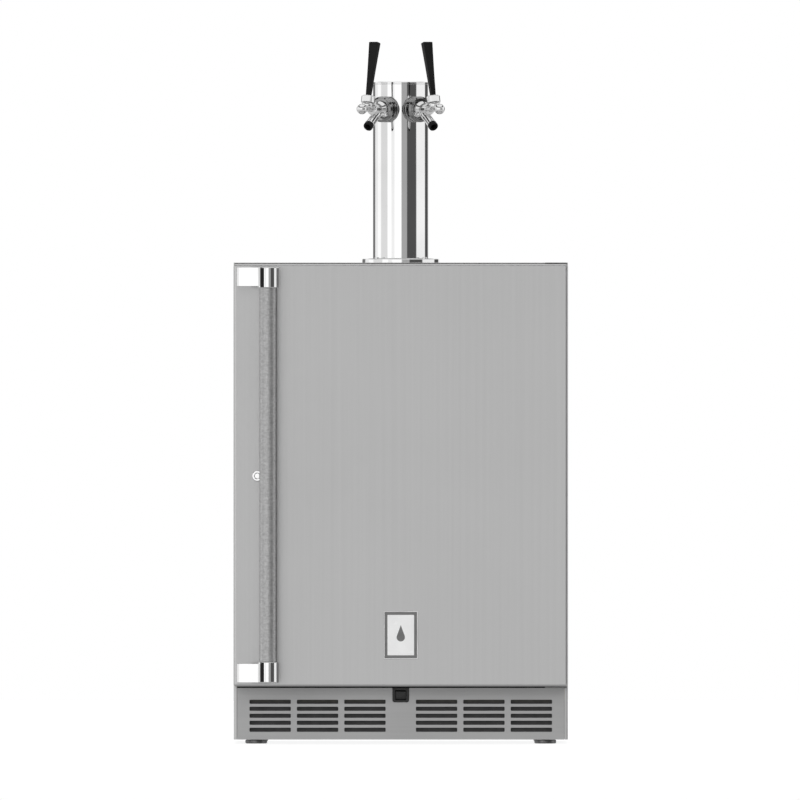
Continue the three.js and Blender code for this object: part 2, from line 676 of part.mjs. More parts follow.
function tower() {
  const flangeBottom = HEIGHT + GAP;
  const flangeTop = flangeBottom + FLANGE_THICK;
  const tubeTop = TOWER_TOP - 4.2;
  const flange = turnedZ([
    [DUCT_RADIUS, flangeBottom], [FLANGE_RADIUS, flangeBottom], [FLANGE_RADIUS, flangeTop - 2.5],
    [FLANGE_RADIUS - 2.5, flangeTop], [DUCT_RADIUS, flangeTop],
  ], FINE);
  const column = turnedZ(
    tube(TOWER_RADIUS - TOWER_WALL, TOWER_RADIUS, flangeTop + GAP, tubeTop), FINE);
  const shankHoles = [-1, 1].map((side) => {
    const hole = turnedX(rod(SHANK_RADIUS + GAP, 0, 80));
    return hole.rotateZ(tapHeading(side)).translate(0, 0, TAP_Z);
  });
  const plug = TOWER_RADIUS - TOWER_WALL - GAP - 0.2;
  const cap = turnedZ([
    [0, tubeTop - 12], [plug, tubeTop - 12], [plug, tubeTop + GAP], [TOWER_RADIUS, tubeTop + GAP],
    [TOWER_RADIUS, TOWER_TOP - 1], [TOWER_RADIUS - 1, TOWER_TOP], [0, TOWER_TOP],
  ], FINE);
  const group = new THREE.Group();
  group.position.y = TOWER_Y;
  group.add(
    part('tower_flange', flange, CHROME),
    part('tower_tube', cut(column, ...shankHoles), CHROME),
    part('tower_cap', cap, CHROME),
    tap('left', -1),
    tap('right', 1),
  );
  return group;
}

// The angle about Z that turns +X towards a tap: side is -1 for the left tap and 1 for the right one.
function tapHeading(side) {
  return -Math.PI / 2 + side * TAP_ANGLE;
}

// One tap, built with +X pointing out of the tower along its axis.
function tap(sideName, side) {
  const group = new THREE.Group();
  group.position.z = TAP_Z;
  group.rotation.z = tapHeading(side);
  const wall = TOWER_RADIUS + GAP;
  const shank = turnedX([
    [3.5, 26], [SHANK_RADIUS, 26], [SHANK_RADIUS, wall], [NUT_RADIUS, wall], [NUT_RADIUS, wall + 2],
    [NUT_RADIUS - 4, wall + 5.5], [SHANK_RADIUS, wall + 5.5], [SHANK_RADIUS, 66], [3.5, 66],
  ]);
  const nut = turnedX([
    [12.4, 57.2], [NUT_RADIUS - 1.5, 57.2], [NUT_RADIUS, 58.7], [NUT_RADIUS, 74], [NUT_RADIUS - 3, 78],
    [12.4, 78],
  ]);
  group.add(
    part(`shank_${sideName}`, shank, CHROME),
    part(`coupling_nut_${sideName}`, nut, CHROME),
    part(`faucet_body_${sideName}`, faucetBody(), CHROME),
    part(`spout_tip_${sideName}`, spoutPiece(tube(SPOUT_BORE, SPOUT_RADIUS, SPOUT_END + GAP, SPOUT_TIP)),
      BLACK_PLASTIC),
    lever(sideName),
  );
  return group;
}

const SPOUT_START_OUT = 84;            // where the spout leaves the faucet's axis
const SPOUT_DROP = Math.atan2(29, 43); // the spout points out and down
const SPOUT_RADIUS = 8.7;
const SPOUT_BORE = 6;
const SPOUT_END = 45;
const SPOUT_TIP = 53;

function spoutPiece(profile) {
  return turnedX(profile).rotateY(SPOUT_DROP).translate(SPOUT_START_OUT, 0, -3);
}

const NOSE_OUT = 150.3;                // centre of the ball at the faucet's front end
const NOSE_RADIUS = 9.7;
const NECK_RADIUS = 4.8;
const BALL_RADIUS = 10.2;              // the ball under the lever's cap

// Points on a circle about (0, centre), from one angle to another, measured from the axis's low end.
function arcProfile(radius, centre, from, to, steps) {
  return Array.from({ length: steps + 1 }, (_, i) => {
    const angle = from + (i / steps) * (to - from);
    return [Math.max(radius * Math.sin(angle), 0), centre - radius * Math.cos(angle)];
  });
}

// The faucet: a turned body along X that narrows to a neck and ends in a ball, a second ball on the neck that the
// lever's cap covers, and the spout.
function faucetBody() {
  const nose = arcProfile(NOSE_RADIUS, NOSE_OUT, Math.asin(NECK_RADIUS / NOSE_RADIUS), Math.PI, 7);
  nose[nose.length - 1][0] = 0;
  const body = turnedX([
    [0, 66.3], [12, 66.3], [12, 79], [14.5, 80], [14.5, 84], [10.4, 91], [10.4, 110], [NECK_RADIUS, 113],
    ...nose,
  ]);
  const ball = arcProfile(BALL_RADIUS, LEVER_UP, 0, Math.PI, 8);
  ball[0][0] = 0;
  ball[ball.length - 1][0] = 0;
  const joint = turnedZ(ball).translate(LEVER_OUT, 0, 0);
  const spout = spoutPiece(rod(SPOUT_RADIUS, 0, SPOUT_END));
  const passage = spoutPiece(rod(SPOUT_BORE, SPOUT_END - 15, SPOUT_END + 5));
  return cut(join(body, joint, spout), passage);
}

const CAP_START = 4.4;                 // along the lever from its pivot
const CAP_END = 16.9;
const CAP_RADIUS = 12.6;
const CAP_HOLLOW = 10.8;
const HANDLE_START = 17.3;
const HANDLE_END = 118;

// The lever and its tap handle, built along Z from the pivot and leaned back towards the tower. The lever's cap
// is hollow underneath and turns over the faucet's ball.
function lever(sideName) {
  const group = new THREE.Group();
  group.position.set(LEVER_OUT, 0, LEVER_UP);
  group.rotation.y = -LEVER_LEAN;
  const hollow = arcProfile(CAP_HOLLOW, 0, Math.PI, Math.acos(-CAP_START / CAP_HOLLOW), 5);
  hollow[0][0] = 0;
  const stud = turnedZ([
    ...hollow, [CAP_RADIUS, CAP_START], [CAP_RADIUS, CAP_END - 1.2], [CAP_RADIUS - 1.2, CAP_END],
    [2.6, CAP_END], [2.6, 30], [0, 30],
  ]);
  const handlePiece = cut(tapHandle(), turnedZ(rod(2.9, 0, 31)));
  group.add(
    part(`tap_lever_${sideName}`, stud, CHROME),
    part(`tap_handle_${sideName}`, handlePiece, BLACK_PLASTIC),
  );
  return group;
}

// A tapered paddle with cut corners, wider across than it is deep.
function tapHandle() {
  const ring = (wide, deep, height) => {
    const corner = Math.min(wide, deep) * 0.16;
    const halfWide = wide / 2;
    const halfDeep = deep / 2;
    return [
      [halfDeep, halfWide - corner], [halfDeep - corner, halfWide],
      [corner - halfDeep, halfWide], [-halfDeep, halfWide - corner],
      [-halfDeep, corner - halfWide], [corner - halfDeep, -halfWide],
      [halfDeep - corner, -halfWide], [halfDeep, corner - halfWide],
    ].map(([x, y]) => new THREE.Vector3(x, y, height));
  };
  const rings = [];
  for (let i = 0; i <= 6; i += 1) {
    const t = i / 6;
    const flare = t ** 1.25;
    rings.push(ring(9.2 + 9.8 * flare, 8 + 4 * flare, HANDLE_START + t * (HANDLE_END - 1.2 - HANDLE_START)));
  }
  rings.push(ring(17.6, 10.8, HANDLE_END));
  return loft(rings);
}

// ---------------------------------------------------------------- the whole object

const pieces = new THREE.Group();
pieces.add(
  ...shell(),
  ...feet(),
  insulation(),
  ...liner(),
  frontFrame(),
  toeGrille(),
  ...powerSwitch(),
  ...refrigeration(),
  ...controls(),
  ...hinges(),
  lockStrike(),
  ...door(),
  tower(),
);

// The handle reaches furthest forward and the back panel furthest back.
const handleFront = HANDLE_Y - FERRULE_RADIUS;
pieces.position.y = -(handleFront + DEPTH) / 2;

const kegerator = new THREE.Group();
kegerator.add(pieces);

export default kegerator;
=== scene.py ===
"""A two-tap kegerator: detailed meshes, materials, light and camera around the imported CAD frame.

Everything is in metres in the frame's own axes: +Z up, the front faces -Y. Sizes are written as so many MM.
"""

import json
import math

import bmesh
import bpy
from mathutils import Matrix, Vector


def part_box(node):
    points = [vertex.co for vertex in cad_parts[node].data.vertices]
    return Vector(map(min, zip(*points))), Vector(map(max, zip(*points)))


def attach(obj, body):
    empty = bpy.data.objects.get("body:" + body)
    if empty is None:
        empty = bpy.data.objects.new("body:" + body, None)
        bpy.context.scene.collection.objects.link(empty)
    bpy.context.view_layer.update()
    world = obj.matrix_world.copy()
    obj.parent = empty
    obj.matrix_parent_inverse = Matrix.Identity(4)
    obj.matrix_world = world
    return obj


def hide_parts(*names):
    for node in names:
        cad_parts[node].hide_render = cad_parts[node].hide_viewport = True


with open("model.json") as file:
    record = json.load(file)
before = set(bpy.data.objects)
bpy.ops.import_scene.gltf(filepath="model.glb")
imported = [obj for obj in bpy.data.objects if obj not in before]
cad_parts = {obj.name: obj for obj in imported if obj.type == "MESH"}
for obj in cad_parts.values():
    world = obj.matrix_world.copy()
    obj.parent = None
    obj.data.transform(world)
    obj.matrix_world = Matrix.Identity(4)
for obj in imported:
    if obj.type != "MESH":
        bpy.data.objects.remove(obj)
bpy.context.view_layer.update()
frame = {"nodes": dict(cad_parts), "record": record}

MM = 0.001
RECORD = frame["record"]
BODY_OF = {node: body for body, nodes in RECORD["behaviour"]["bodies"].items() for node in nodes}
JOINT = {joint["name"]: joint for joint in RECORD["behaviour"]["joints"]}


# ---------------------------------------------------------------- materials

def grey(value):
    return (value, value, value)


class Finish:
    """A node material under construction: its shader, and short ways to give it procedural detail."""

    def __init__(self, slot, color, roughness, metallic=0.0):
        self.material = bpy.data.materials.new(slot)
        self.material.use_nodes = True
        self.nodes = self.material.node_tree.nodes
        self.links = self.material.node_tree.links
        self.shader = self.nodes["Principled BSDF"]
        self.shader.inputs["Base Color"].default_value = (*color, 1)
        self.shader.inputs["Roughness"].default_value = roughness
        self.shader.inputs["Metallic"].default_value = metallic
        self.place = self.nodes.new("ShaderNodeTexCoord").outputs["Object"]

    def stretched(self, stretch):
        mapping = self.nodes.new("ShaderNodeMapping")
        mapping.inputs["Scale"].default_value = stretch
        self.links.new(self.place, mapping.inputs["Vector"])
        return mapping.outputs["Vector"]

    def noise(self, scale, stretch=(1, 1, 1), detail=3.0):
        """Noise whose features are about 1 / scale metres wide, and longer where stretch is under 1."""
        texture = self.nodes.new("ShaderNodeTexNoise")
        texture.inputs["Scale"].default_value = scale
        texture.inputs["Detail"].default_value = detail
        self.links.new(self.stretched(stretch), texture.inputs["Vector"])
        return texture.outputs["Fac"]

    def cells(self, scale, output="Distance", stretch=(1, 1, 1)):
        texture = self.nodes.new("ShaderNodeTexVoronoi")
        texture.inputs["Scale"].default_value = scale
        self.links.new(self.stretched(stretch), texture.inputs["Vector"])
        return texture.outputs[output]

    def ranged(self, value, low, high, start=0.3, end=0.7):
        """value from start to end becomes low to high."""
        scaled = self.nodes.new("ShaderNodeMapRange")
        self.links.new(value, scaled.inputs["Value"])
        scaled.inputs["From Min"].default_value = start
        scaled.inputs["From Max"].default_value = end
        scaled.inputs["To Min"].default_value = low
        scaled.inputs["To Max"].default_value = high
        return scaled.outputs["Result"]

    def added(self, first, second):
        total = self.nodes.new("ShaderNodeMath")
        total.operation = "ADD"
        self.links.new(first, total.inputs[0])
        self.links.new(second, total.inputs[1])
        return total.outputs["Value"]

    def color(self, value, dark, light, start=0.3, end=0.7):
        """The base colour runs from dark to light as value goes from start to end."""
        ramp = self.nodes.new("ShaderNodeValToRGB")
        ramp.color_ramp.elements[0].position = start
        ramp.color_ramp.elements[0].color = (*dark, 1)
        ramp.color_ramp.elements[1].position = end
        ramp.color_ramp.elements[1].color = (*light, 1)
        self.links.new(value, ramp.inputs["Fac"])
        self.links.new(ramp.outputs["Color"], self.shader.inputs["Base Color"])

    def roughness(self, value, low, high, start=0.3, end=0.7):
        self.links.new(self.ranged(value, low, high, start, end), self.shader.inputs["Roughness"])

    def bump(self, height, depth, strength=1.0):
        """A relief of that depth in metres."""
        bump = self.nodes.new("ShaderNodeBump")
        bump.inputs["Distance"].default_value = depth
        bump.inputs["Strength"].default_value = strength
        self.links.new(height, bump.inputs["Height"])
        self.links.new(bump.outputs["Normal"], self.shader.inputs["Normal"])


def brushed(slot, dark, light, rough_low, rough_high, grain=(1, 1, 0.006)):
    """Sheet metal with long fine scratches, broader streaks and faint smudges."""
    finish = Finish(slot, grey(light), rough_high, metallic=1.0)
    scratches = finish.noise(1500, grain, detail=2)
    streaks = finish.noise(160, grain, detail=3)
    smudges = finish.noise(4, detail=3)
    finish.color(finish.added(finish.ranged(streaks, 0, 0.7), finish.ranged(scratches, 0, 0.3)),
                 grey(dark), grey(light), 0, 1)
    finish.roughness(finish.added(finish.ranged(smudges, 0, 0.5), finish.ranged(streaks, 0, 0.5)),
                     rough_low, rough_high, 0, 1)
    finish.bump(scratches, 0.00001, 0.3)
    return finish.material


def chrome():
    """Polished plating with a trace of wiping marks."""
    finish = Finish("chrome", grey(0.86), 0.05, metallic=1.0)
    wiping = finish.noise(30, (1, 1, 0.4), detail=4)
    finish.roughness(wiping, 0.03, 0.085)
    finish.color(finish.noise(9), grey(0.82), grey(0.9))
    return finish.material


def tap_chrome():
    """The taps' plating, a little darker than the tower's: painted shade that darkens the taps."""
    finish = Finish("tap_chrome", grey(0.78), 0.07, metallic=1.0)
    finish.roughness(finish.noise(60, detail=4), 0.04, 0.1)
    finish.color(finish.noise(40, detail=2), grey(0.72), grey(0.84))
    return finish.material


def nut_chrome():
    """The coupling nuts' and wall flanges' plating, much darker than the tower's chrome."""
    finish = Finish("nut_chrome", grey(0.3), 0.09, metallic=1.0)
    finish.roughness(finish.noise(60, detail=4), 0.05, 0.13)
    finish.color(finish.noise(40, detail=2), grey(0.24), grey(0.36))
    return finish.material


def grille_steel():
    """The toe grille's duller brushed sheet, its colour a little darker than the door's stainless: painted shade from
    the door above it.
    """
    finish = Finish("grille_steel", grey(0.52), 0.5, metallic=1.0)
    streaks = finish.noise(160, (0.006, 1, 1), detail=3)
    finish.color(streaks, grey(0.5), grey(0.53))
    finish.roughness(finish.noise(4), 0.46, 0.54)
    finish.bump(finish.noise(1500, (0.006, 1, 1), detail=2), 0.00001, 0.3)
    return finish.material


def etched_steel():
    """The grip's etched surface: small irregular facets across the tube."""
    finish = Finish("etched_steel", grey(0.5), 0.4, metallic=1.0)
    ripples = finish.noise(170, (1, 1, 1.7), detail=3)
    facets = finish.cells(260, stretch=(1, 1, 1.4))
    finish.color(ripples, grey(0.4), grey(0.54))
    finish.roughness(facets, 0.34, 0.5, 0.1, 0.8)
    finish.bump(finish.added(ripples, finish.ranged(facets, 0, 0.5, 0, 1)), 0.0006, 0.4)
    return finish.material


def galvanised():
    """Zinc with its spangle: each crystal has its own shade and gloss."""
    finish = Finish("galvanised", (0.5, 0.52, 0.53), 0.5, metallic=1.0)
    spangle = finish.cells(110, "Color")
    finish.color(spangle, (0.56, 0.575, 0.58), (0.62, 0.635, 0.64), 0.1, 0.9)
    finish.roughness(finish.noise(60), 0.42, 0.56)
    finish.bump(finish.noise(900), 0.00003)
    return finish.material


def dark_metal():
    finish = Finish("dark_metal", grey(0.16), 0.32, metallic=1.0)
    finish.color(finish.noise(120), grey(0.12), grey(0.22))
    finish.roughness(finish.noise(400), 0.24, 0.42)
    finish.bump(finish.noise(1500), 0.00004, 0.6)
    return finish.material


def aluminium():
    finish = Finish("aluminium", (0.66, 0.67, 0.68), 0.42, metallic=1.0)
    finish.color(finish.noise(25), (0.58, 0.59, 0.6), (0.72, 0.73, 0.74))
    finish.roughness(finish.noise(300, (1, 1, 0.05)), 0.34, 0.5)
    finish.bump(finish.noise(700, (1, 1, 0.05)), 0.00005)
    return finish.material


def black_paint():
    finish = Finish("black_paint", grey(0.014), 0.4)
    finish.color(finish.noise(40), grey(0.01), grey(0.022))
    finish.roughness(finish.noise(90), 0.3, 0.5)
    finish.bump(finish.noise(450, detail=2), 0.00012, 0.6)
    return finish.material


def black_plastic():
    """Moulded black with a fine leather-like texture and a faintly uneven tone."""
    finish = Finish("black_plastic", grey(0.016), 0.42)
    finish.color(finish.noise(14), grey(0.011), grey(0.026))
    finish.roughness(finish.noise(55), 0.34, 0.52)
    finish.bump(finish.cells(1900), 0.00003, 0.7)
    return finish.material


def tap_black():
    """Deep black moulding of the tap handles and spout ends: little sheen and a faint parting texture."""
    finish = Finish("tap_black", grey(0.006), 0.4)
    finish.shader.inputs["Specular IOR Level"].default_value = 0.17
    finish.color(finish.noise(22), grey(0.004), grey(0.009))
    finish.roughness(finish.noise(70), 0.34, 0.48)
    finish.bump(finish.cells(1900), 0.00003, 0.6)
    return finish.material


def grille_dark():
    """Flat dark grey paint behind the toe grille."""
    finish = Finish("grille_dark", grey(0.05), 0.6)
    finish.color(finish.noise(60), grey(0.042), grey(0.06))
    finish.roughness(finish.noise(200), 0.52, 0.7)
    finish.bump(finish.noise(900, detail=2), 0.00005, 0.6)
    return finish.material


def white_plastic():
    finish = Finish("white_plastic", (0.78, 0.79, 0.79), 0.42)
    finish.color(finish.noise(6), (0.74, 0.75, 0.745), (0.82, 0.83, 0.83))
    finish.roughness(finish.noise(45), 0.34, 0.5)
    finish.bump(finish.noise(1300, detail=2), 0.00004, 0.6)
    finish.shader.inputs["Subsurface Weight"].default_value = 0.05
    finish.shader.inputs["Subsurface Radius"].default_value = (0.002, 0.002, 0.002)
    return finish.material


def frosted_lens():
    finish = Finish("frosted_lens", (0.9, 0.9, 0.86), 0.35)
    finish.color(finish.noise(30), (0.86, 0.86, 0.82), (0.93, 0.93, 0.9))
    finish.roughness(finish.noise(500), 0.28, 0.45)
    finish.bump(finish.cells(600), 0.0001, 0.6)
    finish.shader.inputs["Transmission Weight"].default_value = 0.3
    finish.shader.inputs["Coat Weight"].default_value = 0.3
    return finish.material


def rubber():
    finish = Finish("rubber", grey(0.045), 0.75)
    finish.color(finish.noise(35), grey(0.034), grey(0.062))
    finish.roughness(finish.noise(200), 0.62, 0.85)
    finish.bump(finish.noise(1200, detail=2), 0.00006, 0.6)
    return finish.material


def foam():
    """Rigid polyurethane foam with its open-cut cells."""
    finish = Finish("foam", (0.74, 0.62, 0.34), 0.9)
    finish.color(finish.noise(20, detail=5), (0.66, 0.52, 0.26), (0.8, 0.7, 0.42))
    finish.roughness(finish.noise(80), 0.82, 0.97)
    finish.bump(finish.cells(700), 0.0004)
    return finish.material


def brass():
    finish = Finish("brass", (0.68, 0.48, 0.2), 0.3, metallic=1.0)
    finish.color(finish.noise(60), (0.58, 0.4, 0.16), (0.74, 0.54, 0.24))
    finish.roughness(finish.noise(900, (0.1, 0.1, 1)), 0.22, 0.42)
    finish.bump(finish.noise(1500, (0.1, 0.1, 1)), 0.00002)
    return finish.material


def badge_plate():
    """Bright plating with fine wiping marks."""
    finish = Finish("badge", grey(0.8), 0.16, metallic=1.0)
    finish.color(finish.noise(50), grey(0.76), grey(0.84))
    finish.roughness(finish.noise(900, (0.02, 1, 1)), 0.12, 0.24)
    finish.bump(finish.noise(2500, (0.02, 1, 1)), 0.00001, 0.5)
    return finish.material


def badge_frame():
    """The nameplate's satin grey band, brushed across."""
    finish = Finish("badge_frame", grey(0.2), 0.45, metallic=0.6)
    finish.color(finish.noise(900, (0.02, 1, 1)), grey(0.17), grey(0.22))
    finish.roughness(finish.noise(60), 0.4, 0.5)
    finish.bump(finish.noise(1800, (0.02, 1, 1)), 0.00001, 0.5)
    return finish.material


def badge_field():
    """White enamel with a slight orange-peel surface."""
    finish = Finish("badge_field", grey(0.9), 0.22)
    finish.color(finish.noise(25), grey(0.86), grey(0.93))
    finish.roughness(finish.noise(80), 0.18, 0.28)
    finish.bump(finish.noise(600, detail=2), 0.00002, 0.6)
    return finish.material


FINISH = {
    "stainless": brushed("stainless", 0.525, 0.555, 0.29, 0.33),
    "liner_steel": brushed("liner_steel", 0.6, 0.66, 0.36, 0.42, grain=(0.006, 1, 1)),
    "chrome": chrome(),
    "etched_steel": etched_steel(),
    "galvanised": galvanised(),
    "dark_metal": dark_metal(),
    "aluminium": aluminium(),
    "black_paint": black_paint(),
    "black_plastic": black_plastic(),
    "white_plastic": white_plastic(),
    "frosted_lens": frosted_lens(),
    "rubber": rubber(),
    "foam": foam(),
    "brass": brass(),
    "badge": badge_plate(),
}

# Finishes of pieces that look different from the rest of their slot.
SPECIAL = {
    "tap_chrome": tap_chrome(),
    "nut_chrome": nut_chrome(),
    "grille_steel": grille_steel(),
    "tap_black": tap_black(),
    "grille_dark": grille_dark(),
    "badge_frame": badge_frame(),
    "badge_field": badge_field(),
}


# ---------------------------------------------------------------- outlines

def arc(centre, radius, start, end, steps):
    """Points on a circle from one angle to another, in degrees."""
    points = []
    for step in range(steps + 1):
        angle = math.radians(start + (end - start) * step / steps)
        points.append((centre[0] + radius * math.cos(angle), centre[1] + radius * math.sin(angle)))
    return points


def rounded(corners, closed=True, steps=5):
    """The outline through corners (u, v, radius), with an arc in place of each corner that has a radius."""
    points = []
    count = len(corners)
    for i, (u, v, radius) in enumerate(corners):
        if radius <= 0 or (not closed and i in (0, count - 1)):
            points.append((u, v))
            continue
        here = Vector((u, v))
        to_last = (Vector(corners[i - 1][:2]) - here).normalized()
        to_next = (Vector(corners[(i + 1) % count][:2]) - here).normalized()
        half = to_last.angle(to_next) / 2
        centre = here + (to_last + to_next).normalized() * (radius / math.sin(half))
        first = here + to_last * (radius / math.tan(half)) - centre
        last = here + to_next * (radius / math.tan(half)) - centre
        start = math.atan2(first.y, first.x)
        turn = (math.atan2(last.y, last.x) - start + math.pi) % (2 * math.pi) - math.pi
        for step in range(steps + 1):
            angle = start + turn * step / steps
            points.append((centre.x + radius * math.cos(angle), centre.y + radius * math.sin(angle)))
    return points


def rectangle(u0, u1, v0, v1, radius=0.0, steps=4):
    return rounded([(u0, v0, radius), (u1, v0, radius), (u1, v1, radius), (u0, v1, radius)], steps=steps)


# ---------------------------------------------------------------- solids, each added to a bmesh

def new_mesh():
    return bmesh.new()


def skin(bm, rings, closed=False):
    """Faces over rings with the same number of points. The ends are capped, or joined to each other if closed."""
    made = [[bm.verts.new(point) for point in ring] for ring in rings]
    pairs = list(zip(made, made[1:]))
    if closed:
        pairs.append((made[-1], made[0]))
    for lower, upper in pairs:
        count = len(lower)
        for i in range(count):
            after = (i + 1) % count
            bm.faces.new((lower[i], lower[after], upper[after], upper[i]))
    if not closed:
        bm.faces.new(made[0])
        bm.faces.new(made[-1])
    return bm


def turned(bm, profile, matrix=Matrix(), facets=48):
    """A profile of (radius, height) points turned about Z. One that doesn't end on the axis is closed as a ring."""
    loops = []
    for radius, height in profile:
        if radius < 1e-7:
            loops.append([bm.verts.new(matrix @ Vector((0, 0, height)))])
            continue
        ring = []
        for i in range(facets):
            angle = 2 * math.pi * i / facets
            ring.append(bm.verts.new(matrix @ Vector((radius * math.cos(angle), radius * math.sin(angle), height))))
        loops.append(ring)
    pairs = list(zip(loops, loops[1:]))
    if len(loops[0]) > 1:
        pairs.append((loops[-1], loops[0]))
    for lower, upper in pairs:
        for i in range(facets):
            after = (i + 1) % facets
            corners = [lower[i % len(lower)], lower[after % len(lower)], upper[after % len(upper)],
                       upper[i % len(upper)]]
            bm.faces.new(list(dict.fromkeys(corners)))
    return bm


STANDING = Matrix()
FACING = Matrix.Rotation(math.pi / 2, 4, "X")                       # (u, v, w) goes to (x, z, -y)
ACROSS = Matrix(((0, 0, 1, 0), (1, 0, 0, 0), (0, 1, 0, 0), (0, 0, 0, 1)))  # (u, v, w) goes to (y, z, x)
ALONG_X = Matrix.Rotation(math.pi / 2, 4, "Y")                      # Z turns to X
ALONG_Y = Matrix.Rotation(-math.pi / 2, 4, "X")                     # Z turns to Y


def at(x, y, z):
    return Matrix.Translation((x, y, z))


def prism(bm, outline, start, end, matrix=STANDING):
    """An outline in the matrix's first two axes, solid from start to end along its third."""
    return skin(bm, [[matrix @ Vector((u, v, w)) for u, v in outline] for w in (start, end)])


def facing(bm, outline, front, back):
    """An outline in x and z, solid from front to back in y."""
    return prism(bm, outline, -front, -back, FACING)


def block(bm, low, high, radius=0.0):
    """A box between two corners, with its upright edges rounded."""
    return prism(bm, rectangle(low[0], high[0], low[1], high[1], radius), low[2], high[2])


def tray(bm, layers, matrix=STANDING, steps=5):
    """Rounded rectangles (u0, u1, v0, v1, radius, w) stacked along the third axis and skinned over."""
    rings = []
    for u0, u1, v0, v1, radius, w in layers:
        outline = rectangle(u0, u1, v0, v1, max(radius, 0.05 * MM), steps)
        rings.append([matrix @ Vector((u, v, w)) for u, v in outline])
    return skin(bm, rings)


def sheet_with_holes(outline, holes, front, back, matrix=FACING):
    """A flat sheet with holes, solid between two depths, as a new bmesh."""
    curve = bpy.data.curves.new("sheet", "CURVE")
    curve.dimensions = "2D"
    curve.fill_mode = "BOTH"
    curve.extrude = abs(back - front) / 2
    for loop in [outline, *holes]:
        spline = curve.splines.new("POLY")
        spline.points.add(len(loop) - 1)
        for point, (u, v) in zip(spline.points, loop):
            point.co = (u, v, 0, 1)
        spline.use_cyclic_u = True
    holder = bpy.data.objects.new("sheet", curve)
    bpy.context.collection.objects.link(holder)
    mesh = bpy.data.meshes.new_from_object(holder)
    bm = new_mesh()
    bm.from_mesh(mesh)
    bmesh.ops.remove_doubles(bm, verts=bm.verts, dist=1e-6)
    bmesh.ops.dissolve_limit(bm, angle_limit=0.01, verts=bm.verts, edges=bm.edges)
    middle = (front + back) / 2
    shift = Matrix.Translation((0, 0, -middle if matrix is FACING else middle))
    bm.transform(matrix @ shift)
    bpy.data.objects.remove(holder)
    bpy.data.curves.remove(curve)
    bpy.data.meshes.remove(mesh)
    return bm


def temporary(bm, name="temporary"):
    bmesh.ops.recalc_face_normals(bm, faces=bm.faces)
    mesh = bpy.data.meshes.new(name)
    bm.to_mesh(mesh)
    bm.free()
    obj = bpy.data.objects.new(name, mesh)
    bpy.context.collection.objects.link(obj)
    return obj


def combined(base, tools, operation):
    """base with each bmesh in tools joined on (UNION) or cut away (DIFFERENCE), as a new bmesh."""
    body = temporary(base)
    others = [temporary(tool) for tool in tools]
    for other in others:
        modifier = body.modifiers.new("combine", "BOOLEAN")
        modifier.operation = operation
        modifier.solver = "EXACT"
        modifier.object = other
    depsgraph = bpy.context.evaluated_depsgraph_get()
    result = new_mesh()
    result.from_object(body, depsgraph)
    for obj in (body, *others):
        mesh = obj.data
        bpy.data.objects.remove(obj)
        bpy.data.meshes.remove(mesh)
    return result


def union(base, *tools):
    return combined(base, tools, "UNION")


def cut(base, *tools):
    return combined(base, tools, "DIFFERENCE")


# ---------------------------------------------------------------- pieces

def piece(name, bm, slot, body, nodes=(), bevel=0.0, segments=2, sharp=38, special=None):
    """A finished mesh: shaded, in its slot's finish or a special one, riding on its body in place of its CAD nodes."""
    obj = temporary(bm, name)
    mesh = obj.data
    mesh.materials.append(SPECIAL[special] if special else FINISH[slot])
    mesh.shade_smooth()
    if bevel:
        rounding = obj.modifiers.new("edges", "BEVEL")
        rounding.width = bevel
        rounding.segments = segments
        rounding.limit_method = "ANGLE"
        rounding.angle_limit = math.radians(sharp)
        rounding.harden_normals = True
        rounding.use_clamp_overlap = True
    else:
        mesh.set_sharp_from_angle(angle=math.radians(sharp))
    weighted = obj.modifiers.new("normals", "WEIGHTED_NORMAL")
    weighted.keep_sharp = True
    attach(obj, body)
    if nodes:
        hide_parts(*nodes)
    return obj


def shape(node, bm, slot, **looks):
    """The fine piece that stands for one CAD node."""
    return piece(f"{node}_shape", bm, slot, BODY_OF[node], (node,), **looks)


def keep(slot, *nodes):
    """CAD nodes whose shape is already right, with their finish."""
    for node in nodes:
        data = frame["nodes"][node].data
        data.materials.clear()
        data.materials.append(FINISH[slot])


def screw(bm, matrix, radius=3.6 * MM, height=2.0 * MM):
    """A pan-head screw with a cross recess, standing along the matrix's Z axis."""
    head = new_mesh()
    crown = arc((radius - 1.1 * MM, height - 1.1 * MM), 1.1 * MM, 0, 80, 3)
    turned(head, [(0, 0), (radius, 0), *crown, (0, height)], facets=20)
    arm = radius * 0.55
    slit = 0.45 * MM
    cross = new_mesh()
    outline = [
        (arm, -slit), (arm, slit), (slit, slit), (slit, arm), (-slit, arm), (-slit, slit),
        (-arm, slit), (-arm, -slit), (-slit, -slit), (-slit, -arm), (slit, -arm), (slit, -slit),
    ]
    prism(cross, outline, height - 0.9 * MM, height + 1 * MM)
    made = cut(head, cross)
    made.transform(matrix)
    mesh = bpy.data.meshes.new("screw")
    made.to_mesh(mesh)
    made.free()
    bm.from_mesh(mesh)
    bpy.data.meshes.remove(mesh)
    return bm


def screws(name, places, body="cabinet", slot="dark_metal", **size):
    bm = new_mesh()
    for matrix in places:
        screw(bm, matrix, **size)
    return piece(name, bm, slot, body, sharp=30)


# ---------------------------------------------------------------- places taken from the frame

DOOR_LOW, DOOR_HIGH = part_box("door_skin")
BODY_LOW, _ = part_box("side_panel_left")
_, BODY_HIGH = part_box("top_panel")
GRILLE_LOW, GRILLE_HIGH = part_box("toe_grille")
HALF = DOOR_HIGH.x
FRONT = DOOR_LOW.y
BODY_FRONT = BODY_LOW.y
BACK = BODY_HIGH.y
SHEET = 1.5 * MM
HEM = 6 * MM                       # the side panels' folded front edge
GAP = 0.3 * MM


# ---------------------------------------------------------------- cabinet

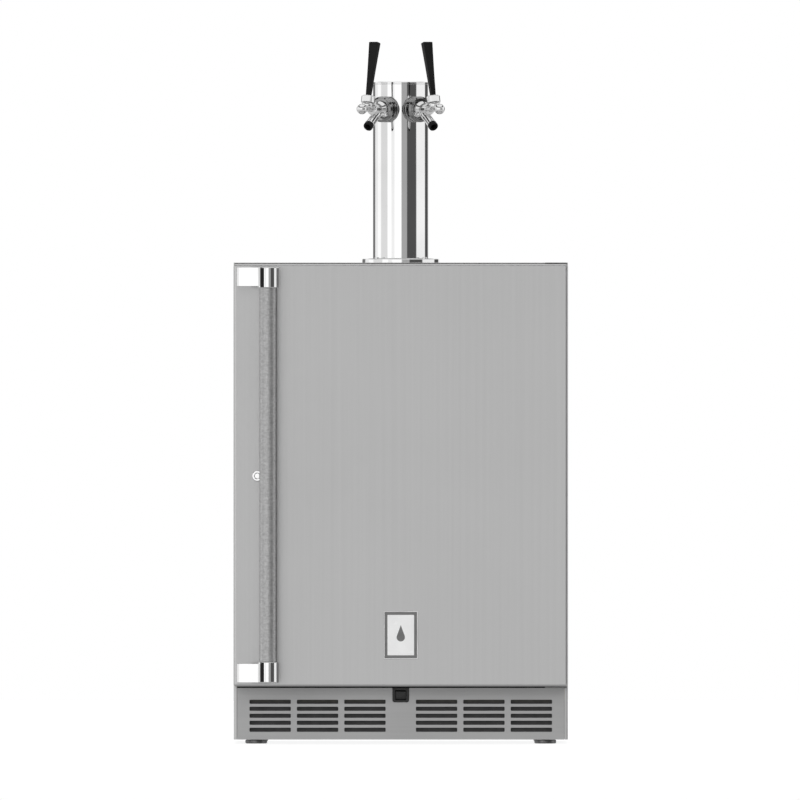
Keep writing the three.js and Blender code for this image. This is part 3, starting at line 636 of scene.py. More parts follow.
def side_panel(node, side):
    """A sheet whose front edge is folded inward. side is -1 for the left panel and 1 for the right one."""
    low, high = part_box(node)
    fold = rounded([
        (side * HALF, BACK, 0.3 * MM), (side * HALF, BODY_FRONT, 2.4 * MM),
        (side * (HALF - HEM), BODY_FRONT, 0.5 * MM), (side * (HALF - HEM), BODY_FRONT + SHEET, 0.5 * MM),
        (side * (HALF - SHEET), BODY_FRONT + SHEET, 1.0 * MM), (side * (HALF - SHEET), BACK, 0.3 * MM),
    ])
    shape(node, prism(new_mesh(), fold, low.z, high.z), "stainless", bevel=0.25 * MM, sharp=50)


def top_panel():
    low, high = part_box("top_panel")
    duct_low, duct_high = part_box("tower_flange")
    centre = (duct_low + duct_high) / 2
    hole = arc((centre.x, centre.y), 38 * MM, 0, 350, 35)
    outline = rectangle(low.x, high.x, low.y, high.y, 1.5 * MM)
    bm = sheet_with_holes(outline, [hole], low.z, high.z, STANDING)
    shape("top_panel", bm, "stainless", bevel=0.6 * MM, segments=3, sharp=50)


def front_frame():
    low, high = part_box("front_frame")
    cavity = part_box("liner_wrap")
    side = HALF - HEM - GAP
    hole = rectangle(cavity[0].x + SHEET, cavity[1].x - SHEET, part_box("liner_floor")[1].z,
                     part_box("liner_ceiling")[0].z, 1.2 * MM)
    bm = sheet_with_holes(rectangle(-side, side, low.z, high.z, 1 * MM), [hole], low.y, high.y)
    shape("front_frame", bm, "stainless", bevel=0.3 * MM, sharp=50)


def grille_slots():
    """The outlines of the toe grille's slots: three columns on each side, five rows."""
    length = 75 * MM
    height = 7.4 * MM
    slots = []
    for side in (-1, 1):
        for column in range(3):
            for row in range(5):
                x = side * (65 + 86 * column) * MM
                z = (25.3 + 12.7 * row) * MM
                slots.append(rectangle(x - length / 2, x + length / 2, z - height / 2, z + height / 2, 1.6 * MM))
    return slots


def toe_grille():
    """A punched sheet with a folded foot, and a sloping vane behind each row of slots."""
    side = HALF - HEM - GAP
    low, high = GRILLE_LOW, GRILLE_HIGH
    switch_low, switch_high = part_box("switch_housing")
    notch_floor = switch_low.z - GAP
    notch_left = switch_low.x - GAP
    notch_right = switch_high.x + GAP
    outline = rounded([
        (-side, low.z, 0), (side, low.z, 0), (side, high.z, 1 * MM), (notch_right, high.z, 0.6 * MM),
        (notch_right, notch_floor, 4.2 * MM), (notch_left, notch_floor, 4.2 * MM),
        (notch_left, high.z, 0.6 * MM), (-side, high.z, 1 * MM),
    ])
    bm = sheet_with_holes(outline, grille_slots(), low.y, high.y)
    shape("toe_grille", bm, "stainless", bevel=0.35 * MM, sharp=50, special="grille_steel")
    foot = rounded([
        (low.y + SHEET + 0.2 * MM, low.z, 0.4 * MM), (low.y + 22 * MM, low.z, 0.4 * MM),
        (low.y + 22 * MM, low.z + 1.2 * MM, 0.4 * MM), (low.y + SHEET + 0.2 * MM, low.z + 1.2 * MM, 0.4 * MM),
    ])
    foot_piece = prism(new_mesh(), foot, -side, side, ACROSS)
    piece("toe_grille_foot", foot_piece, "stainless", "cabinet", sharp=50)
    vanes = new_mesh()
    for sign in (-1, 1):
        centre = sign * 151 * MM
        for row in range(5):
            z = (25.3 + 12.7 * row) * MM
            y = low.y + SHEET + 1 * MM
            slope = [(y, z - 5.6 * MM), (y + 0.8 * MM, z - 6.2 * MM), (y + 6 * MM, z + 5.8 * MM),
                     (y + 5.2 * MM, z + 6.4 * MM)]
            prism(vanes, slope, centre - 128 * MM, centre + 128 * MM, ACROSS)
    piece("toe_grille_vanes", vanes, "dark_metal", "cabinet", sharp=50, special="grille_dark")
    # A black strip behind the grille's top edge, filling the gap under the door: painted shade that keeps that gap
    # dark.
    seam = new_mesh()
    facing(seam, rectangle(-side, side, high.z - 1 * MM, DOOR_LOW.z - 0.1 * MM, 0.4 * MM), low.y + SHEET + GAP,
           low.y + 2.2 * MM)
    piece("toe_grille_seam_shade", seam, "rubber", "cabinet", sharp=50, special="tap_black")


def back_panel():
    """The upper back sheet, with three pressed fields that stiffen it, and its screws."""
    low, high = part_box("back_panel")
    base = new_mesh()
    facing(base, rectangle(low.x, high.x, low.z, high.z, 1 * MM), low.y, high.y)
    fields = []
    tall = (high.z - low.z - 4 * 30 * MM) / 3
    for i in range(3):
        start = low.z + 30 * MM + i * (tall + 30 * MM)
        field = new_mesh()
        half = high.x - 40 * MM
        deep = high.y - 1.2 * MM
        grow = 1.6 * MM
        tray(field, [
            (-half + grow, half - grow, start + grow, start + tall - grow, 12 * MM, -deep),
            (-half, half, start, start + tall, 14 * MM, -(high.y + 0.02 * MM)),
            (-half, half, start, start + tall, 14 * MM, -(high.y + 1 * MM)),
        ], FACING)
        fields.append(field)
    shape("back_panel", cut(base, *fields), "galvanised", sharp=25)
    heads = []
    for x in (-290, -97, 97, 290):
        heads += [(x * MM, low.z + 12 * MM), (x * MM, high.z - 12 * MM)]
    for z in (430, 570, 710):
        heads += [(-290 * MM, z * MM), (290 * MM, z * MM)]
    screws("back_screws", [at(x, high.y, z) @ ALONG_Y for x, z in heads], slot="galvanised")


def machine_cover():
    """The lower back cover: punched vents with a sloping vane behind each, the inlet's cut-out and screws."""
    low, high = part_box("machine_cover")
    inlet_low, inlet_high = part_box("power_inlet")
    holes = [rectangle(inlet_low.x - GAP, inlet_high.x + GAP, inlet_low.z - GAP, inlet_high.z + GAP, 2 * MM)]
    vanes = new_mesh()
    for column in (-1.5, -0.5, 0.5, 1.5):
        for row in range(6):
            x = column * 100 * MM
            z = (110 + row * 20) * MM
            holes.append(rectangle(x - 38 * MM, x + 38 * MM, z - 4 * MM, z + 4 * MM, 3.6 * MM, steps=5))
            inside = low.y - 0.4 * MM
            slope = [(inside, z + 5.6 * MM), (inside - 0.8 * MM, z + 6 * MM), (inside - 9 * MM, z - 2.6 * MM),
                     (inside - 8.2 * MM, z - 3.2 * MM)]
            prism(vanes, slope, x - 40 * MM, x + 40 * MM, ACROSS)
    bm = sheet_with_holes(rectangle(low.x, high.x, low.z, high.z, 1 * MM), holes, low.y, high.y)
    shape("machine_cover", bm, "galvanised", bevel=0.35 * MM, sharp=50)
    piece("machine_cover_vanes", vanes, "galvanised", "cabinet", sharp=50)
    heads = [(x * MM, z * MM) for x in (-290, -97, 97, 290) for z in (22, 259)]
    screws("machine_cover_screws", [at(x, high.y, z) @ ALONG_Y for x, z in heads], slot="galvanised")


def foot(node):
    """A levelling foot: a turned pad on a threaded stud."""
    low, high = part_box(node)
    centre = (low + high) / 2
    radius = (high.x - low.x) / 2
    profile = rounded([
        (0, 0, 0), (radius - 1.5 * MM, 0, 0.6 * MM), (radius, 1.4 * MM, 0.8 * MM), (radius, 6.4 * MM, 0.9 * MM),
        (7.5 * MM, 6.8 * MM, 0.3 * MM), (7 * MM, 8.6 * MM, 0.3 * MM), (5.4 * MM, 8.7 * MM, 0),
    ], closed=False, steps=3)
    pitch = 1.75 * MM
    turns = int((high.z - 11 * MM) / pitch)
    for i in range(turns):
        start = 9.2 * MM + i * pitch
        profile += [(5.2 * MM, start), (6 * MM, start + pitch * 0.4), (6 * MM, start + pitch * 0.6)]
    profile += [(5.2 * MM, high.z - 1 * MM), (4.6 * MM, high.z), (0, high.z)]
    shape(node, turned(new_mesh(), profile, at(centre.x, centre.y, 0), facets=40), "dark_metal", sharp=30)


def power_switch():
    """A bezel with rounded lower corners, and the dished rocker in it."""
    low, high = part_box("switch_housing")
    outline = rounded([
        (low.x, low.z, 4 * MM), (high.x, low.z, 4 * MM), (high.x, high.z, 0.5 * MM), (low.x, high.z, 0.5 * MM),
    ])
    bezel = facing(new_mesh(), outline, low.y, high.y)
    rocker_low, rocker_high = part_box("power_rocker")
    middle = (rocker_low.z + rocker_high.z) / 2
    pocket = facing(new_mesh(), rectangle(-10 * MM, 10 * MM, middle - 9 * MM, middle + 9 * MM, 0.8 * MM),
                    low.y - 5 * MM, high.y - 4 * MM)
    shape("switch_housing", cut(bezel, pocket), "black_plastic", bevel=0.5 * MM, sharp=50)
    tilt = Matrix.Rotation(math.radians(7), 4, "X")
    pivot = at(*JOINT["power_rocker_tilt"]["pos_m"])
    back = [(3 * MM, 7 * MM), (-3 * MM, 7 * MM)]
    dish = [(-3.6 + 1.4 * math.cos(math.pi * z / 15.2)) * MM for z in range(-7, 8)]
    face = [(z * MM, depth) for z, depth in zip(range(-7, 8), dish)]
    outline = [(depth, z) for z, depth in face] + [(4 * MM, 7.6 * MM)] + [(d, z) for z, d in back]
    outline += [(4 * MM, -7.6 * MM)]
    rocker = prism(new_mesh(), outline, -9.4 * MM, 9.4 * MM, pivot @ tilt @ ACROSS)
    shape("power_rocker", rocker, "black_plastic", bevel=0.3 * MM, sharp=50)


def hinge(node, up):
    """An angle bracket with its pin, screwed to the front frame. up is 1 for the bottom hinge and -1 for the top."""
    low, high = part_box(node)
    plate_low = low.z if up > 0 else high.z - 2 * MM
    pin = JOINT["door_hinge"]["pos_m"]
    leg_front = high.y - 2.3 * MM
    fold = rounded([
        (low.y, plate_low, 0.3 * MM), (high.y, plate_low, 1.6 * MM if up > 0 else 0.3 * MM),
        (high.y, plate_low + 2 * MM, 0.3 * MM if up > 0 else 1.6 * MM), (low.y, plate_low + 2 * MM, 0.3 * MM),
    ], steps=3)
    bm = prism(new_mesh(), fold, low.x, high.x, ACROSS)
    leg = new_mesh()
    facing(leg, rectangle(low.x, high.x, low.z, high.z, 3 * MM), leg_front, high.y)
    pin_reach = plate_low + (13 * MM if up > 0 else -11 * MM)
    ends = sorted((plate_low + 1 * MM, pin_reach))
    pin_mesh = turned(new_mesh(), rounded([
        (0, ends[0], 0), (4 * MM, ends[0], 0.6 * MM), (4 * MM, ends[1], 0.6 * MM), (0, ends[1], 0),
    ], closed=False, steps=2), at(pin[0], pin[1], 0), facets=32)
    shape(node, union(bm, leg, pin_mesh), "dark_metal", sharp=30)
    centre_x = (low.x + high.x) / 2
    centre_z = (low.z + high.z) / 2 + up * 4 * MM
    facing_out = [at(centre_x + dx * MM, leg_front, centre_z) @ Matrix.Rotation(math.pi / 2, 4, "X")
                  for dx in (-10, 10)]
    screws(f"{node}_screws", facing_out, slot="chrome", height=1.6 * MM)


def lock_strike():
    low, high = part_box("lock_strike")
    back = high.y
    lip = low.y
    fold = rounded([
        (low.x, back, 0.3 * MM), (low.x, back - 1.2 * MM, 0.3 * MM), (-287.5 * MM, back - 1.2 * MM, 0.5 * MM),
        (-287.5 * MM, lip, 1.2 * MM), (high.x, lip, 0.4 * MM), (high.x, lip + 1.2 * MM, 0.4 * MM),
        (-286.2 * MM, lip + 1.2 * MM, 0.3 * MM), (-286.2 * MM, back, 1 * MM),
    ], steps=3)
    shape("lock_strike", prism(new_mesh(), fold, low.z, high.z), "galvanised", bevel=0.25 * MM, sharp=50)


# ---------------------------------------------------------------- inside

def fan(node, hub_radius=14 * MM, blades=5):
    """A moulded fan wheel with swept, twisted blades, built about Z and turned onto the node's axis."""
    low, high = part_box(node)
    centre = (low + high) / 2
    spans = [high[i] - low[i] for i in range(3)]
    axis = spans.index(min(spans))
    depth = spans[axis]
    radius = max(spans) / 2
    turn = ALONG_X if axis == 0 else ALONG_Y
    matrix = at(*centre) @ turn
    half = depth / 2
    hub_profile = rounded([
        (0, -half, 0), (hub_radius - 1 * MM, -half, 2 * MM), (hub_radius, half, 0.6 * MM), (0, half, 0),
    ], closed=False)
    bm = turned(new_mesh(), hub_profile, matrix, facets=40)
    stations = 7
    for blade in range(blades):
        rings = []
        for i in range(stations):
            t = i / (stations - 1)
            r = hub_radius - 1.5 * MM + t * (radius - hub_radius + 1.5 * MM)
            pitch = math.radians(42 - 16 * t)
            chord = (20 + 6 * math.sin(math.pi * t)) * MM * (1 - 0.25 * t ** 4)
            sweep = math.radians(14) * t + 2 * math.pi * blade / blades
            reach = min(chord / 2, half / math.sin(pitch) * 0.95)
            ring = []
            for along, thick in ((-1, 0.0), (-0.5, 0.5), (0.2, 0.7), (1, 0.0), (0.2, -0.5), (-0.5, -0.4)):
                u = reach * along
                v = thick * MM + 1.2 * MM * (1 - along * along) * 0.6
                side = u * math.cos(pitch) - v * math.sin(pitch)
                lift = u * math.sin(pitch) + v * math.cos(pitch)
                angle = sweep + side / r
                ring.append(matrix @ Vector((r * math.cos(angle), r * math.sin(angle), lift)))
            rings.append(ring)
        skin(bm, rings)
    shape(node, bm, "black_plastic", sharp=50)


def evaporator_cover():
    """A moulded cover with a ringed fan guard and return slots."""
    low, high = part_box("evaporator_cover")
    fan_low, fan_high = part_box("evaporator_fan")
    centre = (fan_low + fan_high) / 2
    wall = 2 * MM
    edge = 6 * MM
    outer = [(low.x, high.x, low.z, high.z, 8 * MM, -high.y),
             (low.x, high.x, low.z, high.z, 8 * MM, -(low.y + edge))]
    for step in range(1, 6):
        angle = math.radians(18 * step)
        inset = edge * (1 - math.cos(angle))
        y = low.y + edge * (1 - math.sin(angle))
        outer.append((low.x + inset, high.x - inset, low.z + inset, high.z - inset, 8 * MM - inset, -y))
    shell = tray(new_mesh(), outer, FACING)
    inside = facing(new_mesh(), rectangle(low.x + wall, high.x - wall, low.z + wall, high.z - wall, 6 * MM),
                    low.y + wall, high.y + 5 * MM)
    radius = (fan_high.x - fan_low.x) / 2 + 3 * MM
    mouth = turned(new_mesh(), [(0, -30 * MM), (radius, -30 * MM), (radius, 30 * MM), (0, 30 * MM)],
                   at(centre.x, low.y, centre.z) @ ALONG_Y, facets=64)
    returns = []
    for i in (-1, 0, 1):
        x = i * 90 * MM
        slot = prism(new_mesh(), rectangle(x - 35 * MM, x + 35 * MM, low.y + 20 * MM, high.y - 17 * MM, 4 * MM),
                     low.z - 10 * MM, low.z + 10 * MM)
        returns.append(slot)
    shape("evaporator_cover", cut(shell, inside, mouth, *returns), "white_plastic", sharp=30)
    guard = new_mesh()
    plane = at(centre.x, low.y + 1.6 * MM, centre.z) @ ALONG_Y
    wire = 0.9 * MM
    for ring_radius in (10, 17, 24, 31, 38):
        section = arc((ring_radius * MM, 0), wire, 0, 315, 7)
        turned(guard, section, plane, facets=48)
    for i in range(8):
        spoke = turned(new_mesh(), [(0, 0), (wire, 0), (wire, radius + 2 * MM), (0, radius + 2 * MM)],
                       plane @ Matrix.Rotation(i * math.pi / 4, 4, "Z") @ ALONG_X, facets=8)
        mesh = bpy.data.meshes.new("spoke")
        spoke.to_mesh(mesh)
        spoke.free()
        guard.from_mesh(mesh)
        bpy.data.meshes.remove(mesh)
    piece("evaporator_fan_guard", guard, "chrome", "cabinet", sharp=50)


def controls():
    """The control module under the ceiling, its knurled dial, and the light's ribbed lens."""
    low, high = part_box("control_module")
    edge = 4 * MM
    layers = []
    for step in range(6):
        angle = math.radians(18 * step)
        inset = edge * (1 - math.sin(angle))
        z = low.z + edge * (1 - math.cos(angle))
        layers.append((low.x + inset, high.x - inset, low.y + inset, high.y - inset, 7 * MM - inset, z))
    layers.append((low.x, high.x, low.y, high.y, 7 * MM, high.z))
    shape("control_module", tray(new_mesh(), layers), "white_plastic", sharp=30)
    dial_low, dial_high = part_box("thermostat_dial")
    centre = (dial_low + dial_high) / 2
    radius = (dial_high.x - dial_low.x) / 2
    flutes = 24
    count = flutes * 4
    rings = []
    for scale, z in ((0.76, dial_low.z), (0.86, dial_low.z + 0.5 * MM), (0.92, dial_low.z + 1.8 * MM),
                     (0.985, dial_high.z - 1.2 * MM), (0.985, dial_high.z)):
        ring = []
        for i in range(count):
            angle = 2 * math.pi * i / count
            ripple = 1 - 0.03 * (1 + math.cos(flutes * angle)) / 2
            r = radius * scale * ripple
            ring.append((centre.x + r * math.cos(angle), centre.y + r * math.sin(angle), z))
        rings.append(ring)
    dial = skin(new_mesh(), rings)
    pointer = new_mesh()
    block(pointer, (centre.x - 0.7 * MM, centre.y - radius * 0.72, dial_low.z - 1 * MM),
          (centre.x + 0.7 * MM, centre.y - radius * 0.15, dial_low.z + 0.6 * MM), 0.3 * MM)
    shape("thermostat_dial", cut(dial, pointer), "black_plastic", sharp=35)
    ticks = new_mesh()
    for i in range(10):
        angle = math.radians(-90 + 30 * i)
        spot = at(centre.x, centre.y, low.z) @ Matrix.Rotation(angle, 4, "Z")
        outline = rectangle(radius + 2 * MM, radius + (6 if i % 3 == 0 else 4) * MM, -0.4 * MM, 0.4 * MM)
        prism(ticks, outline, -0.12 * MM, 0.1 * MM, spot)
    piece("dial_ticks", ticks, "black_plastic", "cabinet", sharp=50)
    light_low, light_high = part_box("interior_light")
    ribs = 9
    deep = light_high.y - light_low.y
    lower = []
    for i in range(ribs * 4 + 1):
        t = i / (ribs * 4)
        y = light_low.y + deep * t
        body_curve = math.sin(math.pi * t) ** 0.35 if 0 < t < 1 else 0
        ripple = 0.35 * MM * abs(math.sin(math.pi * ribs * t))
        lower.append((y, light_high.z - 2 * MM - (6.6 * MM) * body_curve + ripple * body_curve))
    outline = [(light_low.y, light_high.z), *lower, (light_high.y, light_high.z)]
    lens = prism(new_mesh(), outline, light_low.x, light_high.x, ACROSS)
    shape("interior_light", lens, "frosted_lens", sharp=45)


def power_inlet():
    """The mains inlet: a socket with cut corners and three flat pins."""
    low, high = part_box("power_inlet")
    centre = (low + high) / 2
    body = facing(new_mesh(), rectangle(low.x, high.x, low.z, high.z, 1.8 * MM), low.y, high.y)
    half_wide = 12 * MM
    half_tall = 8.5 * MM
    socket_outline = rounded([
        (centre.x - half_wide, centre.z - half_tall, 1 * MM), (centre.x + half_wide, centre.z - half_tall, 1 * MM),
        (centre.x + half_wide, centre.z + half_tall - 4 * MM, 1 * MM),
        (centre.x + half_wide - 4 * MM, centre.z + half_tall, 1 * MM),
        (centre.x - half_wide + 4 * MM, centre.z + half_tall, 1 * MM),
        (centre.x - half_wide, centre.z + half_tall - 4 * MM, 1 * MM),
    ], steps=3)
    socket = facing(new_mesh(), socket_outline, high.y - 16 * MM, high.y + 5 * MM)
    shape("power_inlet", cut(body, socket), "black_plastic", bevel=0.4 * MM, sharp=50)
    pins = new_mesh()
    for dx, dz in ((-7, -1.5), (0, 2.5), (7, -1.5)):
        x = centre.x + dx * MM
        z = centre.z + dz * MM
        block(pins, (x - 1 * MM, high.y - 17 * MM, z - 2 * MM), (x + 1 * MM, high.y - 3 * MM, z + 2 * MM), 0.4 * MM)
    piece("power_inlet_pins", pins, "brass", "cabinet", bevel=0.3 * MM, sharp=50)


def compressor():
    """A welded pot on its mounting plate, with rubber mounts at its corners."""
    low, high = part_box("compressor")
    plate_top = 26 * MM
    pot_x = (low.x + high.x) / 2
    pot_y = (low.y + high.y) / 2
    profile = rounded([
        (0, plate_top - 3 * MM, 0), (44 * MM, plate_top - 3 * MM, 6 * MM), (47.6 * MM, 100 * MM, 0.8 * MM),
        (49.4 * MM, 101 * MM, 0.6 * MM), (49.4 * MM, 105 * MM, 0.6 * MM), (47.6 * MM, 106 * MM, 0.8 * MM),
        (46 * MM, high.z - 14 * MM, 18 * MM), (0, high.z, 0),
    ], closed=False, steps=6)
    pot = turned(new_mesh(), profile, at(pot_x, 0.2825, 0), facets=56)
    plate = block(new_mesh(), (low.x, low.y, low.z), (high.x, high.y, low.z + 4 * MM), 9 * MM)
    shape("compressor", union(pot, plate), "black_paint", sharp=35)
    mounts = new_mesh()
    for x in (low.x + 12 * MM, high.x - 12 * MM):
        for y in (low.y + 12 * MM, high.y - 12 * MM):
            profile = rounded([
                (0, 4.1 * MM, 0), (7 * MM, 4.1 * MM, 1.5 * MM), (5 * MM, 9 * MM, 1 * MM), (7 * MM, 14 * MM, 1.5 * MM),
                (0, 14 * MM, 0),
            ], closed=False, steps=3)
            turned(mounts, profile, at(x, y, low.z), facets=24)
    piece("compressor_mounts", mounts, "rubber", "cabinet", sharp=40)


# ---------------------------------------------------------------- door

EDGE = 4.6 * MM                    # the door skin's rounded front edge


def bush_pockets():
    pockets = []
    for node in ("hinge_bush_top", "hinge_bush_bottom"):
        low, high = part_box(node)
        centre = (low + high) / 2
        profile = [(0, low.z - 1 * MM), (7.3 * MM, low.z - 1 * MM), (7.3 * MM, high.z + 1 * MM), (0, high.z + 1 * MM)]
        pockets.append(turned(new_mesh(), profile, at(centre.x, centre.y, 0), facets=40))
    return pockets


def door_skin():
    """A pan with rounded front edges and corners, open at the back."""
    low, high = DOOR_LOW, DOOR_HIGH

    def layer(y, inset, radius):
        return (low.x + inset, high.x - inset, low.z + inset, high.z - inset, radius, -y)

    corner = 5 * MM
    layers = [
        layer(low.y + SHEET, EDGE, 0.6 * MM), layer(low.y + EDGE, SHEET, corner - SHEET),
        layer(high.y, SHEET, corner - SHEET), layer(high.y, 0, corner),
    ]
    steps = 8
    for step in range(steps + 1):
        angle = math.pi / 2 * step / steps
        inset = EDGE * (1 - math.cos(angle))
        layers.append(layer(low.y + EDGE * (1 - math.sin(angle)), inset, corner - inset))
    pan = tray(new_mesh(), layers, FACING, steps=8)
    lock_low, lock_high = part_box("lock_barrel")
    lock = (lock_low + lock_high) / 2
    lock_hole = turned(new_mesh(), [(0, -20 * MM), (8.3 * MM, -20 * MM), (8.3 * MM, 20 * MM), (0, 20 * MM)],
                       at(lock.x, low.y, lock.z) @ ALONG_Y, facets=40)
    shape("door_skin", cut(pan, lock_hole, *bush_pockets()), "stainless", sharp=30)


def door_underside_shade_strip():
    """A black strip under the pan's lower edge: painted shade that darkens the door's bottom edge and the gap over the
    toe grille.
    """
    low, high = DOOR_LOW, DOOR_HIGH
    strip = rounded([
        (low.x + 6 * MM, low.y + 3.5 * MM, 1 * MM), (258 * MM, low.y + 3.5 * MM, 1 * MM),
        (258 * MM, high.y - 1 * MM, 1 * MM), (low.x + 6 * MM, high.y - 1 * MM, 1 * MM),
    ])
    bm = prism(new_mesh(), strip, low.z - 0.35 * MM, low.z + 0.2 * MM)
    piece("door_underside_shade_strip", bm, "black_plastic", "door", sharp=50, special="tap_black")


def door_inner_panel():
    """The moulded liner of the door, with a sunk field inside its flat border."""
    low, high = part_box("door_inner_panel")

    def layer(y, inset, radius):
        return (low.x + inset, high.x - inset, low.z + inset, high.z - inset, radius, y)

    sink = 1.2 * MM
    border = 74 * MM
    layers = [
        layer(low.y, 0, 4 * MM), layer(high.y - 0.6 * MM, 0, 4 * MM), layer(high.y, 0.6 * MM, 3.6 * MM),
        layer(high.y, border, 16 * MM), layer(high.y - 0.4 * MM, border + 1.2 * MM, 15 * MM),
        layer(high.y - sink, border + 4 * MM, 13 * MM),
    ]
    flip = Matrix(((1, 0, 0, 0), (0, 0, 1, 0), (0, 1, 0, 0), (0, 0, 0, 1)))
    panel = tray(new_mesh(), layers, flip, steps=6)
    lock_low, lock_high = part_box("lock_barrel")
    lock = (lock_low + lock_high) / 2
    hole = turned(new_mesh(), [(0, -20 * MM), (8.3 * MM, -20 * MM), (8.3 * MM, 20 * MM), (0, 20 * MM)],
                  at(lock.x, high.y, lock.z) @ ALONG_Y, facets=40)
    shape("door_inner_panel", cut(panel, hole), "white_plastic", sharp=30)


def gasket():
    """The magnetic seal: a bellows section run round the door with mitred corners."""
    low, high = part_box("door_gasket")
    wide = 10 * MM
    deep = high.y - low.y
    section = rounded([
        (0.4, 0, 0.3), (9.6, 0, 0.3), (9.6, 1.3, 0.3), (6.6, 1.5, 0.4), (6.6, 2.4, 0.4), (9.9, 3.6, 0.7),
        (7.4, 4.9, 0.4), (9.4, 5.5, 0.3), (9.6, 7.7, 0.5), (0.4, 7.7, 0.5), (0.6, 5.5, 0.3), (2.6, 4.9, 0.4),
        (0.1, 3.6, 0.7), (3.4, 2.4, 0.4), (3.4, 1.5, 0.4), (0.4, 1.3, 0.3),
    ], steps=3)
    centre_x = (low.x + high.x) / 2
    centre_z = (low.z + high.z) / 2
    half_x = (high.x - low.x) / 2
    half_z = (high.z - low.z) / 2
    rings = []
    for sx, sz in ((-1, -1), (1, -1), (1, 1), (-1, 1)):
        ring = []
        for across, depth in section:
            inset = wide * (1 - across / 10)
            y = low.y + deep * depth / 7.7
            ring.append((centre_x + sx * (half_x - inset), y, centre_z + sz * (half_z - inset)))
        rings.append(ring)
    shape("door_gasket", skin(new_mesh(), rings, closed=True), "rubber", sharp=50)


def bush(node):
    low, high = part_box(node)
    centre = (low + high) / 2
    outer = (high.x - low.x) / 2
    profile = rounded([
        (4.1 * MM, low.z, 0.4 * MM), (outer, low.z, 0.5 * MM), (outer, high.z, 0.5 * MM),
        (4.1 * MM, high.z, 0.4 * MM),
    ], steps=3)
    shape(node, turned(new_mesh(), profile, at(centre.x, centre.y, 0), facets=40), "brass", sharp=40)


def handle():
    """The grip: an etched tube between two polished brackets."""
    tube_low, tube_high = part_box("handle_tube")
    axis = (tube_low + tube_high) / 2
    radius = (tube_high.x - tube_low.x) / 2
    profile = rounded([
        (radius - 1.5 * MM, tube_low.z, 0.3 * MM), (radius, tube_low.z, 0.5 * MM), (radius, tube_high.z, 0.5 * MM),
        (radius - 1.5 * MM, tube_high.z, 0.3 * MM),
    ], steps=3)
    spot = at(axis.x, axis.y, 0)
    shape("handle_tube", turned(new_mesh(), profile, spot, facets=72), "etched_steel", sharp=40)
    for node, inward in (("handle_bracket_top", -1), ("handle_bracket_bottom", 1)):
        handle_bracket(node, inward, spot, radius)


def handle_bracket(node, inward, spot, tube_radius):
    """An arm from the door that curves into the ferrule round the tube's end. inward points to the other one."""
    low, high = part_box(node)
    end = high.z if inward < 0 else low.z
    ferrule_radius = 19 * MM
    ferrule_reach = 36.8 * MM
    arm_reach = 33.9 * MM
    door = FRONT

    def span(start, finish):
        return sorted((end + inward * start, end + inward * finish))

    arm = rounded([
        (-297 * MM, door - GAP, 0.5 * MM), (-297 * MM, door - 50 * MM, 6 * MM), (-258 * MM, door - 50 * MM, 8 * MM),
        (-250 * MM, door - 56 * MM, 2 * MM), (spot.translation.x, door - 56 * MM, 0.4 * MM),
        (spot.translation.x, door - 32 * MM, 0.4 * MM), (-270 * MM, door - 31 * MM, 13 * MM),
        (-270 * MM, door - GAP, 0.5 * MM),
    ], steps=8)
    arm_low, arm_high = span(0, arm_reach)
    arm_mesh = prism(new_mesh(), arm, arm_low, arm_high)
    bevel = temporary(arm_mesh)
    rounding = bevel.modifiers.new("edges", "BEVEL")
    rounding.width = 2.2 * MM
    rounding.segments = 4
    rounding.limit_method = "ANGLE"
    rounding.angle_limit = math.radians(60)
    arm_round = new_mesh()
    arm_round.from_object(bevel, bpy.context.evaluated_depsgraph_get())
    bpy.data.objects.remove(bevel)
    ferrule_low, ferrule_high = span(0, ferrule_reach)
    ferrule = turned(new_mesh(), rounded([
        (0, ferrule_low, 0), (ferrule_radius, ferrule_low, 1.2 * MM), (ferrule_radius, ferrule_high, 1.2 * MM),
        (0, ferrule_high, 0),
    ], closed=False, steps=4), spot, facets=72)
    spigot_low, spigot_high = span(20 * MM, ferrule_reach + 20 * MM)
    inside = tube_radius - 2 * MM
    spigot = turned(new_mesh(), [
        (0, spigot_low), (inside, spigot_low), (inside, spigot_high), (0, spigot_high),
    ], spot, facets=48)
    shape(node, union(arm_round, ferrule, spigot), "chrome", sharp=32)
    # A thin black strip on the ferrule's front-left side: painted reflection, standing for the dark band that the
    # polished ferrule shows there.
    dark_reflection_strip = new_mesh()
    proud = ferrule_radius + 0.2 * MM
    strip = arc((spot.translation.x, spot.translation.y), proud, 220, 246, 10)
    strip += arc((spot.translation.x, spot.translation.y), ferrule_radius - 0.5 * MM, 246, 220, 10)
    prism(dark_reflection_strip, strip, ferrule_low + 0.9 * MM, ferrule_high - 0.9 * MM)
    piece(f"{node}_inlay", dark_reflection_strip, "black_plastic", "door", sharp=50, special="tap_black")


